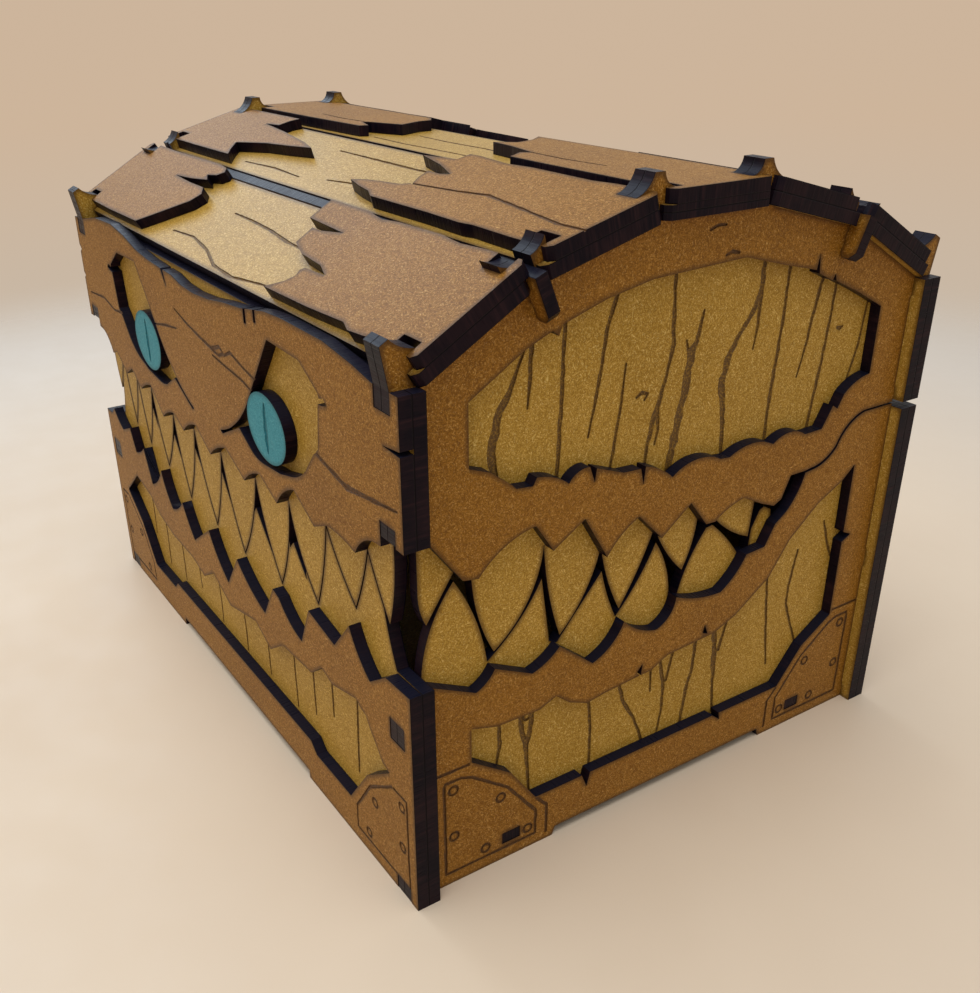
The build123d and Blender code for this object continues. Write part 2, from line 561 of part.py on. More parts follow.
def lid_side_blank(chain):
    """Lid side wall; the run of teeth or lip goes from front to back."""
    half = half_roof()
    jaw = outline((2 * SHEET, LID_SPLIT), *on_side(chain), *on_side(PARTING_LID),
                  (DEPTH - 2 * SHEET, LID_SPLIT))
    return half + Pos(DEPTH, 0) * mirror(half, about=Plane.YZ) + jaw


def base_side_liner():
    return side_plate(base_side_blank(SIDE_LOWER_TEETH), SIDE_LINER_X)


def base_side_face():
    face = base_side_blank(SIDE_LOWER_LIP) - outline(*on_side(SIDE_LOWER_WINDOW))
    for chip in SIDE_CHIPS:
        face = face - outline(*on_side(chip))
    return side_plate(face, SIDE_LINER_X + SHEET)


def lid_side_liner():
    return side_plate(lid_side_blank(SIDE_UPPER_TEETH), SIDE_LINER_X)


def lid_side_face():
    face = lid_side_blank(SIDE_UPPER_LIP) - outline(*on_side(SIDE_UPPER_WINDOW))
    return side_plate(face, SIDE_LINER_X + SHEET)


def facet_plane(origin, slope, out):
    """Plane on a facet, that far out of its underside, measured from its lower edge."""
    a = radians(slope)
    y, z = on_slope(origin, slope, 0, out)
    return Plane(origin=(0, y + FRONT, z), x_dir=(1, 0, 0), z_dir=(0, -sin(a), cos(a)))


def hook_cuts(low_end, high_start):
    """Cuts for the side walls, from below up to low_end and from high_start up."""
    inner, outer, beyond = SIDE_LINER_X - SLOT_FIT, SIDE_FACE_X + SLOT_FIT, 2 * SHEET
    return (at_both_ends(inner, -beyond, outer, low_end + SLOT_FIT)
            + at_both_ends(inner, high_start - SLOT_FIT, outer, high_start + beyond))


@dataclass
class Facet:
    """Flat of the lid. Its spans are the lower and the upper edge, measured up the slope."""
    origin: tuple
    slope: float
    length: float
    drawn_length: float
    panel_span: tuple
    plank_span: tuple
    neck_span: tuple
    hook_span: tuple


FACETS = {
    1: Facet(LOW_EDGE, LOW_SLOPE, LOW_FACET, DRAWN_LOW_FACET,
             (0.0, LOW_FACET - RIB_SEAM), (LOW_PLANK_SETBACK, LOW_FACET - PLANK_SEAM),
             (-SHEET, LOW_FACET - RIB_NECK), (LOW_PLANK_SETBACK + LIP_REACH, LOW_FACET - FORK_REACH)),
    2: Facet(LOW_SEAM, MID_SLOPE, MID_FACET, DRAWN_MID_FACET,
             (RIB_SEAM, MID_FACET - SEAM), (MID_PLANK_SETBACK, MID_FACET - PLANK_SEAM),
             (RIB_NECK, MID_FACET - NECK), (MID_PLANK_SETBACK + FORK_REACH, MID_FACET - HOOK_REACH)),
    3: Facet(TOP_SEAM, 0.0, TOP_FACET, DRAWN_TOP_FACET,
             (SEAM, TOP_FACET - SEAM), (LOW_PLANK_SETBACK, TOP_FACET - PLANK_SEAM),
             (NECK, TOP_FACET - NECK), (LOW_PLANK_SETBACK + HOOK_REACH, TOP_FACET - HOOK_REACH))}


def cut_corners(end, low_v, high_v):
    """Points round one end of a board, up from its lower edge, with the corners cut off."""
    inside = end - PANEL_CORNER if end > 0 else end + PANEL_CORNER
    return [(inside, low_v), (end, low_v + PANEL_CORNER), (end, high_v - PANEL_CORNER),
            (inside, high_v)]


def lid_panel(number):
    facet = FACETS[number]
    right, left = (cut_corners(end, *facet.panel_span) for end in (PANEL_HALF, -PANEL_HALF))
    board = outline(*right, *reversed(left)) - hook_cuts(*facet.neck_span)
    return extrude(facet_plane(facet.origin, facet.slope, 0) * board, SHEET)


def lid_plank(number, broken_edge):
    """Broken plank lying on a panel, from one end of the box to its broken edge."""
    facet = FACETS[number]
    end = PANEL_HALF if broken_edge[0][0] > 0 else -PANEL_HALF
    along, up = PANEL_HALF / DRAWN_PANEL_HALF, facet.length / facet.drawn_length
    board = outline(*cut_corners(end, *facet.plank_span), *[(x * along, v * up) for x, v in broken_edge])
    board = board - hook_cuts(*facet.hook_span)
    return extrude(facet_plane(facet.origin, facet.slope, SHEET) * board, SHEET)


def clip_rib():
    """Rib in the low seam; its ends cross the hooks and reach down outside the side walls."""
    inner, outer = SIDE_LINER_X - SLOT_FIT, SIDE_FACE_X + RIB_FIT
    end, seat = outer + LEG_WIDTH, RIB_FIT - RIB_LAP
    half = outline(
        (0, RIB_TOP), (0, -RIB_DEPTH), (inner - RIB_DEPTH, -RIB_DEPTH), (inner, seat), (outer, seat),
        (outer, -LEG_DEPTH + LEG_ROUND / 2), (outer + LEG_ROUND / 2, -LEG_DEPTH),
        (end - LEG_ROUND, -LEG_DEPTH), (end, -LEG_DEPTH + LEG_ROUND), (end, RIB_TOP))
    a = radians(RIB_SLOPE)
    plane = Plane(origin=(0, LOW_SEAM[0] + FRONT, LOW_SEAM[1]), x_dir=(1, 0, 0),
                  z_dir=(0, -cos(a), -sin(a)))
    return extrude(plane * (half + mirror(half, about=Plane.YZ)), SHEET / 2, both=True)


def along_x(x0, x1, radius):
    """Round bar on the hinge axis."""
    middle_x = (x0 + x1) / 2
    return Pos(middle_x, HINGE_AXIS_Y, HINGE_AXIS_Z) * Rot(0, 90, 0) * Cylinder(radius, x1 - x0)


def leaf_plate(x, side, z0, z1, half):
    low_z, high_z = sorted((HINGE_AXIS_Z + side * z0, HINGE_AXIS_Z + side * z1))
    return Pos(x, BACK + LEAF / 2, (low_z + high_z) / 2) * Box(2 * half, LEAF, high_z - low_z)


def hinge_leaf(x, side):
    """Leaf above (1) or below (-1) the axis; the lower one carries the two outer knuckles."""
    half, centre = HINGE_LENGTH / 2, HINGE_LENGTH / 6
    clear = BARREL_RADIUS + KNUCKLE_GAP
    leaf = leaf_plate(x, side, clear, LEAF_HEIGHT, half)
    if side > 0:
        spans = [(-centre, centre)]
    else:
        spans = [(-half, -centre - KNUCKLE_GAP), (centre + KNUCKLE_GAP, half)]
    for x0, x1 in spans:
        leaf = leaf + leaf_plate(x + (x0 + x1) / 2, side, 0, clear, (x1 - x0) / 2)
        leaf = leaf + along_x(x + x0, x + x1, BARREL_RADIUS)
    leaf = leaf - along_x(x - half - LEAF, x + half + LEAF, PIN_RADIUS + PIN_FIT)
    for place in screw_places(side):
        leaf = leaf - screw_length(place, SCREW_RADIUS + SCREW_FIT, 0, 2 * LEAF)
    return leaf


def hinge_pin(x):
    return along_x(x - HINGE_LENGTH / 2, x + HINGE_LENGTH / 2, PIN_RADIUS)


def screw_length(place, radius, y0, y1):
    """Stretch of a screw or its hole, between two depths from the face of the back wall."""
    section = Plane.XZ.offset(-(BACK + y1)) * (Pos(*place) * screw_outline(radius))
    return extrude(section, y1 - y0)


def screws(side):
    """Screws through both leaves above (1) or below (-1) the axis, heads on the leaves."""
    group = []
    for place in screw_places(side):
        shank = screw_length(place, SCREW_RADIUS, LEAF - SCREW_LENGTH, LEAF)
        group.append(shank + screw_length(place, SCREW_HEAD_RADIUS, LEAF, LEAF + SCREW_HEAD))
    return Compound(children=group)


def build():
    parts = {
        "floor_panel": floor_panel(),
        "base_front_liner": base_front_liner(),
        "base_front_face": base_front_face(),
        "base_back_liner": base_back_liner(),
        "base_back_face": base_back_face(),
        "base_side_liner_right": base_side_liner(),
        "base_side_face_right": base_side_face(),
        "lid_front_liner": lid_front_liner(),
        "lid_front_face": lid_front_face(),
        "lid_back_liner": lid_back_liner(),
        "lid_back_face": lid_back_face(),
        "lid_side_liner_right": lid_side_liner(),
        "lid_side_face_right": lid_side_face(),
        "eye_right": eye(EYE_RIGHT),
        "eye_left": eye(EYE_LEFT),
        "clip_rib_front": clip_rib(),
        "hinge_screws_base": screws(-1),
        "hinge_screws_lid": screws(1)}
    for name in ("base_side_liner", "base_side_face", "lid_side_liner", "lid_side_face"):
        parts[name + "_left"] = mirrored(parts[name + "_right"])
    for number in FACETS:
        parts[f"lid_panel_{number}"] = lid_panel(number)
    planks = {1: (LOW_LEFT, LOW_RIGHT), 2: (MID_LEFT, MID_RIGHT), 3: (TOP_LEFT, TOP_RIGHT)}
    for number, (left, right) in planks.items():
        parts[f"lid_plank_{number}_left"] = lid_plank(number, left)
        parts[f"lid_plank_{number}_right"] = lid_plank(number, right)
    for near, far in ((1, 5), (2, 4)):
        parts[f"lid_panel_{far}"] = turned(parts[f"lid_panel_{near}"])
        parts[f"lid_plank_{far}_left"] = turned(parts[f"lid_plank_{near}_right"])
        parts[f"lid_plank_{far}_right"] = turned(parts[f"lid_plank_{near}_left"])
    parts["clip_rib_rear"] = turned(parts["clip_rib_front"])
    for end, x in (("left", -HINGE_X), ("right", HINGE_X)):
        parts[f"hinge_base_leaf_{end}"] = hinge_leaf(x, -1)
        parts[f"hinge_lid_leaf_{end}"] = hinge_leaf(x, 1)
        parts[f"hinge_pin_{end}"] = hinge_pin(x)
    return parts


os.makedirs("parts", exist_ok=True)
for name, shape in build().items():
    export_step(shape, f"parts/{name}.step")
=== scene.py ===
import json
import logging
import math
import random
from dataclasses import dataclass, field
from enum import Enum
from functools import cached_property

import bmesh
import bpy
from mathutils import Matrix, Vector

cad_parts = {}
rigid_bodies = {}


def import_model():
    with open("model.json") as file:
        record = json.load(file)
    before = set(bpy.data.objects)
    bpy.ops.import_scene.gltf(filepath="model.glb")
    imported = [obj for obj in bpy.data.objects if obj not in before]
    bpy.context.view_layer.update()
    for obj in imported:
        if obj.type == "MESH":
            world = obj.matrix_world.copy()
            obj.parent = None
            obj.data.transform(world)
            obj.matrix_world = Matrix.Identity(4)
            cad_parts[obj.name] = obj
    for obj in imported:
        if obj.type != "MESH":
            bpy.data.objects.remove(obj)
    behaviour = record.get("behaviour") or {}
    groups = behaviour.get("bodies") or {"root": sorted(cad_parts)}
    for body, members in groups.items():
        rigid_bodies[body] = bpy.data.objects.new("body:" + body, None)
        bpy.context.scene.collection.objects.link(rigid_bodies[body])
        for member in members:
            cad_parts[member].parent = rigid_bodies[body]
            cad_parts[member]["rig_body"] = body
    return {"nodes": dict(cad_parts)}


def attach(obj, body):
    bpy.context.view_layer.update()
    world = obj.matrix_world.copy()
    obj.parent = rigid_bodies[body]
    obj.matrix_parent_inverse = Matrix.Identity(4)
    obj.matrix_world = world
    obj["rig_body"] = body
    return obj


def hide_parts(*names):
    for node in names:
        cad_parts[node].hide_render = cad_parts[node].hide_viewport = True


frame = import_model()

LOG = logging.getLogger("mimic_chest")
MM = 0.001

# Outer flat of the front wall, and the thickness of one board, in metres
FRONT_Y = -0.0767
SHEET = 0.003

# Red, green, blue and opacity
Colour = tuple[float, float, float, float]
Pair = tuple[float, float]
Triple = tuple[float, float, float]
# Scale of a noise to the metre, its detail and its roughness
Noise = tuple[float, float, float]
# Where a smooth ramp starts and ends, and what it gives there if that isn't 0 and 1
Ramp = tuple[float, ...]
# Places across and up a board with a burnt line's width at each, in millimetres
Line = list[Triple]

Socket = bpy.types.NodeSocket
Node = bpy.types.Node
NodeTree = bpy.types.NodeTree
Material = bpy.types.Material
Object = bpy.types.Object


class Facing(Enum):
    """Which way the flat of a board looks: straight out of a wall, or by its facet's slope in degrees."""

    FRONT = (0.0, -1.0, 0.0)
    BACK = (0.0, 1.0, 0.0)
    RIGHT = (1.0, 0.0, 0.0)
    LEFT = (-1.0, 0.0, 0.0)
    UP = 0.0
    LOW_FRONT = 30.0
    MID_FRONT = 15.0
    MID_BACK = -15.0
    LOW_BACK = -30.0
    RIB_FRONT = 112.5
    RIB_BACK = -112.5

    @property
    def wall(self) -> bool:
        """Whether this is an upright wall of the box."""
        return isinstance(self.value, tuple)

    @property
    def turned(self) -> bool:
        """Whether this is a rear facet of the roof, which repeats a front one turned half round."""
        return self in (Facing.MID_BACK, Facing.LOW_BACK)

    @property
    def normal(self) -> Vector:
        """Direction out of the outer flat of the board."""
        if self.wall:
            return Vector(self.value)
        slope = math.radians(self.value)
        return Vector((0.0, -math.sin(slope), math.cos(slope)))

    @property
    def across(self) -> Vector:
        """Direction in which a line's first number counts."""
        if self in (Facing.RIGHT, Facing.LEFT):
            return Vector((0.0, 1.0, 0.0))
        return Vector((-1.0 if self.turned else 1.0, 0.0, 0.0))

    @property
    def up(self) -> Vector:
        """Direction in which a line's second number counts."""
        return Vector((0.0, 0.0, 1.0)) if self.wall else self.normal.cross(self.across)


@dataclass(frozen=True)
class BoardFinish:
    """Painted fibreboard: its paint, the dark and the light fibres in it, and its burnt lines.

    The two glosses are how much clear coat shows on upright flats and on those of the roof.
    """

    name: str
    paint: Colour
    shade: Colour
    fleck: Colour
    burnt: Colour
    gloss: float = 0.12
    roof_gloss: float = 0.16


@dataclass(frozen=True)
class MetalFinish:
    """Brushed metal with a darker tarnish."""

    name: str
    metal: Colour
    tarnish: Colour
    roughness: float = 0.34


@dataclass(frozen=True)
class TableFinish:
    """Pale table top, which pales further and then runs out softly with its distance in metres."""

    name: str = "pale_table"
    dark: Colour = (0.660, 0.512, 0.364, 1)
    light: Colour = (0.692, 0.544, 0.391, 1)
    pale: Colour = (0.560, 0.482, 0.400, 1)
    pale_ramp: Ramp = (0.119, 0.448)
    fade_ramp: Ramp = (0.34, 0.56, 1.0, 0.0)
    cloud: Noise = (7.0, 4.0, 0.55)
    cloud_ramp: Ramp = (0.3, 0.7)
    grain: Noise = (60.0, 3.0, 0.55)
    roughness: Ramp = (0.3, 0.7, 0.50, 0.62)


BROWN = BoardFinish("brown_board", (0.305, 0.131, 0.011, 1), (0.158, 0.060, 0.005, 1),
                    (0.700, 0.430, 0.150, 1), (0.075, 0.031, 0.007, 1))
GOLD = BoardFinish("gold_board", (0.480, 0.274, 0.042, 1), (0.272, 0.141, 0.014, 1),
                   (0.900, 0.700, 0.280, 1), (0.100, 0.047, 0.008, 1), roof_gloss=0.36)
TEAL = BoardFinish("eye_board", (0.029, 0.262, 0.308, 1), (0.016, 0.186, 0.230, 1),
                   (0.12, 0.36, 0.37, 1), (0.008, 0.115, 0.140, 1), gloss=0.15)
BRASS = MetalFinish("hinge_brass", (0.72, 0.50, 0.20, 1), (0.36, 0.22, 0.08, 1))
STEEL = MetalFinish("hinge_pin_brass", (0.66, 0.48, 0.24, 1), (0.30, 0.20, 0.09, 1), 0.28)


class Tree:
    """A node tree with short ways to add and link nodes."""

    def __init__(self, tree: NodeTree) -> None:
        """Keep the tree that the nodes go into."""
        self.tree = tree

    def fill(self, sockets: bpy.types.NodeInputs | dict[str, Socket],
             values: dict[str | int, object]) -> None:
        """Link each socket that is named to another one, or set its value."""
        for key, value in values.items():
            if isinstance(value, Socket):
                self.tree.links.new(value, sockets[key])
            else:
                sockets[key].default_value = value

    def add(self, kind: str, inputs: dict[str | int, object] | None = None, **settings: object) -> Node:
        """Add a node.

        Args:
            kind: The node's type, without its ShaderNode prefix.
            inputs: What to link or set its inputs to.
            settings: Properties to set on it first.

        Returns:
            The new node.
        """
        node = self.tree.nodes.new("ShaderNode" + kind)
        for key, value in settings.items():
            setattr(node, key, value)
        self.fill(node.inputs, inputs or {})
        return node

    def math(self, operation: str, *values: object) -> Socket:
        """Add a math node and return its result."""
        return self.add("Math", dict(enumerate(values)), operation=operation).outputs[0]

    def vector(self, operation: str, *values: object) -> Node:
        """Add a vector math node and return it."""
        return self.add("VectorMath", dict(enumerate(values)), operation=operation)

    def mix(self, factor: object, first: object, second: object) -> Socket:
        """Mix two colours and return the result."""
        node = self.add("Mix", {"Factor": factor, "A": first, "B": second}, data_type="RGBA")
        return next(o for o in node.outputs if o.type == "RGBA")

    def ramp(self, value: Socket, ramp: Ramp) -> Socket:
        """Put a value through a smooth ramp and return the result."""
        parts = dict(enumerate((value, *ramp)))
        return self.add("MapRange", parts, interpolation_type="SMOOTHSTEP").outputs[0]

    def noise(self, place: Socket, noise: Noise) -> Socket:
        """Add a noise texture and return its value."""
        parts = {"Vector": place, **dict(zip(("Scale", "Detail", "Roughness"), noise))}
        return self.add("TexNoise", parts).outputs[0]


def grey(value: float) -> Colour:
    """The colour whose three parts are all one value."""
    return (value, value, value, 1.0)


def new_group(name: str, inputs: dict[str, str], outputs: dict[str, str]) -> tuple[Tree, dict, dict]:
    """Start a shader node group.

    Args:
        name: The group's name.
        inputs: Kind of socket for each input.
        outputs: Kind of socket for each output.

    Returns:
        The group's tree, its inputs' sockets and its outputs' sockets by name.
    """
    group = bpy.data.node_groups.new(name, "ShaderNodeTree")
    for way, sockets in (("INPUT", inputs), ("OUTPUT", outputs)):
        for label, kind in sockets.items():
            group.interface.new_socket(name=label, in_out=way, socket_type="NodeSocket" + kind)
    tree = Tree(group)
    start = group.nodes.new("NodeGroupInput")
    end = group.nodes.new("NodeGroupOutput")
    return tree, {s.name: s for s in start.outputs}, {s.name: s for s in end.inputs}


@dataclass(frozen=True)
class Fibreboard:
    """Painted fibreboard: soft mottling, pressed strands and fine bright specks, counted per metre."""

    cloud: Noise = (24.0, 3.0, 0.55)
    cloud_ramp: Ramp = (0.35, 0.70)
    cloud_share: float = 0.20
    coarse_patches: float = 760.0
    coarse: Noise = (2700.0, 2.0, 0.6)
    coarse_share: float = 0.55
    fine_patches: float = 1300.0
    fine: Noise = (4600.0, 2.0, 0.6)
    fine_share: float = 0.45
    fine_shift: Triple = (0.37, 0.11, 0.53)
    strand_turn: float = 12.0
    strand_shape: Triple = (0.16, 1.0, 1.0)
    shade_ramp: Ramp = (0.38, 0.60, 1.0, 0.0)
    shade_share: float = 0.95
    lit_ramp: Ramp = (0.54, 0.70, 0.0, 0.60)
    grit: Noise = (3000.0, 2.0, 0.7)
    grit_ramp: Ramp = (0.59, 0.70)
    grit_share: float = 0.45
    grit_height: float = 0.5
    roughness: Ramp = (0.35, 0.70, 0.62, 0.44)

    def strands(self, tree: Tree, place: Socket, patches: float, noise: Noise) -> Socket:
        """Short strands that lie in a new direction in each small patch of board.

        Args:
            tree: The tree that the nodes go into.
            place: Where on the board.
            patches: Patches to a metre.
            noise: How close and how rough the strands are.

        Returns:
            A value that runs light and dark along the strands.
        """
        cell = tree.add("TexVoronoi", {"Vector": place, "Scale": patches}).outputs["Color"]
        spin = tree.math("MULTIPLY", tree.add("SeparateColor", {0: cell}).outputs[0], self.strand_turn)
        turn = tree.add("VectorRotate", {"Vector": place, "Axis": cell, "Angle": spin},
                        rotation_type="AXIS_ANGLE")
        return tree.noise(tree.vector("MULTIPLY", turn.outputs[0], self.strand_shape).outputs[0], noise)

    def build(self) -> NodeTree:
        """Make the node group."""
        tree, given, out = new_group(
            "Fibreboard", {"Paint": "Color", "Shade": "Color", "Fleck": "Color"},
            {"Color": "Color", "Roughness": "Float", "Height": "Float"})
        place = tree.add("TexCoord").outputs["Object"]
        cloud = tree.ramp(tree.noise(place, self.cloud), self.cloud_ramp)
        coarse = self.strands(tree, place, self.coarse_patches, self.coarse)
        shifted = tree.vector("ADD", place, self.fine_shift).outputs[0]
        fine = self.strands(tree, shifted, self.fine_patches, self.fine)
        strands = tree.math("ADD", tree.math("MULTIPLY", coarse, self.coarse_share),
                            tree.math("MULTIPLY", fine, self.fine_share))
        shade = tree.math("MULTIPLY", tree.ramp(strands, self.shade_ramp), self.shade_share)
        dull = tree.math("MULTIPLY", cloud, self.cloud_share)
        painted = tree.mix(tree.math("ADD", shade, dull), given["Paint"], given["Shade"])
        painted = tree.mix(tree.ramp(strands, self.lit_ramp), painted, given["Fleck"])
        grit = tree.ramp(tree.noise(place, self.grit), self.grit_ramp)
        specks = tree.math("MULTIPLY", grit, self.grit_share)
        raised = tree.math("MULTIPLY", grit, self.grit_height)
        tree.fill(out, {"Color": tree.mix(specks, painted, given["Fleck"]),
                        "Roughness": tree.ramp(strands, self.roughness),
                        "Height": tree.math("ADD", strands, raised)})
        return tree.tree


@dataclass(frozen=True)
class CutEdge:
    """Charred cut edge of a board, streaked through its thickness by the cutting beam.

    A face that leans away from the sheet's own direction is an edge. Seams mark the glue between the
    layers, and the edges that face the sky get a painted blue reflection of the sky in their colour.
    """

    lean_ramp: Ramp = (0.70, 0.90, 1.0, 0.0)
    whole_layers: float = 4.0
    seam_ramp: Ramp = (0.015, 0.075, 1.0, 0.0)
    seam_share: float = 0.85
    seam_depth: float = 0.8
    seam_roughness: float = 0.3
    seam: Colour = (0.0025, 0.0018, 0.0032, 1)
    streak_stretch: float = 0.93
    streaks: Noise = (1250.0, 3.0, 0.6)
    streak_ramp: Ramp = (0.46, 0.80, 0.0, 0.75)
    streak: Colour = (0.030, 0.0125, 0.0150, 1)
    soot_noise: Noise = (110.0, 4.0, 0.55)
    soot_ramp: Ramp = (0.36, 0.68)
    black: Colour = (0.0050, 0.0035, 0.0075, 1)
    soot: Colour = (0.0130, 0.0062, 0.0095, 1)
    # Edges that face up get a painted blue reflection of the sky mixed into their char colour
    sky_ramp: Ramp = (0.25, 0.80)
    painted_reflection_share: float = 0.75
    painted_sky_reflection: Colour = (0.0085, 0.0095, 0.0190, 1)
    coat: Pair = (0.03, 0.01)
    roughness: Ramp = (0.30, 0.75, 0.26, 0.46)

    def seams(self, tree: Tree, depth: Socket, given: dict[str, Socket]) -> Socket:
        """Value that is high where two layers of board meet.

        Args:
            tree: The tree that the nodes go into.
            depth: Place along the sheet's own direction.
            given: The group's inputs.

        Returns:
            The value.
        """
        layer = tree.math("DIVIDE", tree.math("SUBTRACT", given["Outer flat"], depth), given["Thickness"])
        within = tree.math("FRACT", tree.math("ADD", layer, self.whole_layers))
        from_middle = tree.math("ABSOLUTE", tree.math("SUBTRACT", within, 0.5))
        return tree.ramp(tree.math("SUBTRACT", 0.5, from_middle), self.seam_ramp)

    def build(self) -> NodeTree:
        """Make the node group."""
        tree, given, out = new_group(
            "Cut edge", {"Sheet": "Vector", "Outer flat": "Float", "Thickness": "Float"},
            {"Mask": "Float", "Color": "Color", "Sheen": "Float", "Roughness": "Float", "Height": "Float"})
        coords = tree.add("TexCoord")
        normal, place = coords.outputs["Normal"], coords.outputs["Object"]
        lean = tree.math("ABSOLUTE", tree.vector("DOT_PRODUCT", normal, given["Sheet"]).outputs["Value"])
        depth = tree.vector("DOT_PRODUCT", place, given["Sheet"]).outputs["Value"]
        seam = self.seams(tree, depth, given)
        through = tree.vector("SCALE", given["Sheet"])
        tree.fill(through.inputs, {"Scale": tree.math("MULTIPLY", depth, self.streak_stretch)})
        drawn_out = tree.vector("SUBTRACT", place, through.outputs[0]).outputs[0]
        streaks = tree.noise(drawn_out, self.streaks)
        sooty = tree.ramp(tree.noise(place, self.soot_noise), self.soot_ramp)
        dark = tree.mix(sooty, self.black, self.soot)
        warm = tree.mix(tree.ramp(streaks, self.streak_ramp), dark, self.streak)
        # Painted reflection: the char colour of edges that face up is tinted blue, as if it mirrored the
        # sky
        skyward = tree.ramp(tree.add("SeparateXYZ", {0: normal}).outputs["Z"], self.sky_ramp)
        with_painted_reflection = tree.mix(tree.math("MULTIPLY", skyward, self.painted_reflection_share), warm, self.painted_sky_reflection)
        rougher = tree.math("MULTIPLY", seam, self.seam_roughness)
        deeper = tree.math("MULTIPLY", seam, self.seam_depth)
        tree.fill(out, {"Mask": tree.ramp(lean, self.lean_ramp),
                        "Color": tree.mix(tree.math("MULTIPLY", seam, self.seam_share), with_painted_reflection, self.seam),
                        "Sheen": tree.math("MULTIPLY_ADD", skyward, *self.coat),
                        "Roughness": tree.math("ADD", tree.ramp(streaks, self.roughness), rougher),
                        "Height": tree.math("SUBTRACT", streaks, deeper)})
        return tree.tree


@dataclass(frozen=True)
class BrushedMetal:
    """Brushed metal: long fine scratches and cloudy tarnish, counted per metre."""

    scratch_shape: Triple = (0.06, 1.0, 1.0)
    scratches: Noise = (2600.0, 3.0, 0.6)
    scratch_share: float = 0.25
    scratch_roughness: float = 0.22
    cloud: Noise = (160.0, 4.0, 0.55)
    cloud_ramp: Ramp = (0.40, 0.75)
    cloud_share: float = 0.55
    cloud_roughness: float = 0.16

    def build(self) -> NodeTree:
        """Make the node group."""
        tree, given, out = new_group(
            "Brushed metal", {"Metal": "Color", "Tarnish": "Color", "Roughness": "Float"},
            {"Color": "Color", "Roughness": "Float", "Height": "Float"})
        place = tree.add("TexCoord").outputs["Object"]
        along = tree.vector("MULTIPLY", place, self.scratch_shape).outputs[0]
        scratches = tree.noise(along, self.scratches)
        clouds = tree.ramp(tree.noise(place, self.cloud), self.cloud_ramp)
        tone = tree.math("ADD", tree.math("MULTIPLY", clouds, self.cloud_share),
                         tree.math("MULTIPLY", scratches, self.scratch_share))
        wear = tree.math("MULTIPLY", tree.math("SUBTRACT", scratches, 0.5), self.scratch_roughness)
        worn = tree.math("ADD", given["Roughness"], wear)
        dull = tree.math("MULTIPLY", clouds, self.cloud_roughness)
        tree.fill(out, {"Color": tree.mix(tone, given["Metal"], given["Tarnish"]),
                        "Roughness": tree.math("ADD", worn, dull), "Height": scratches})
        return tree.tree


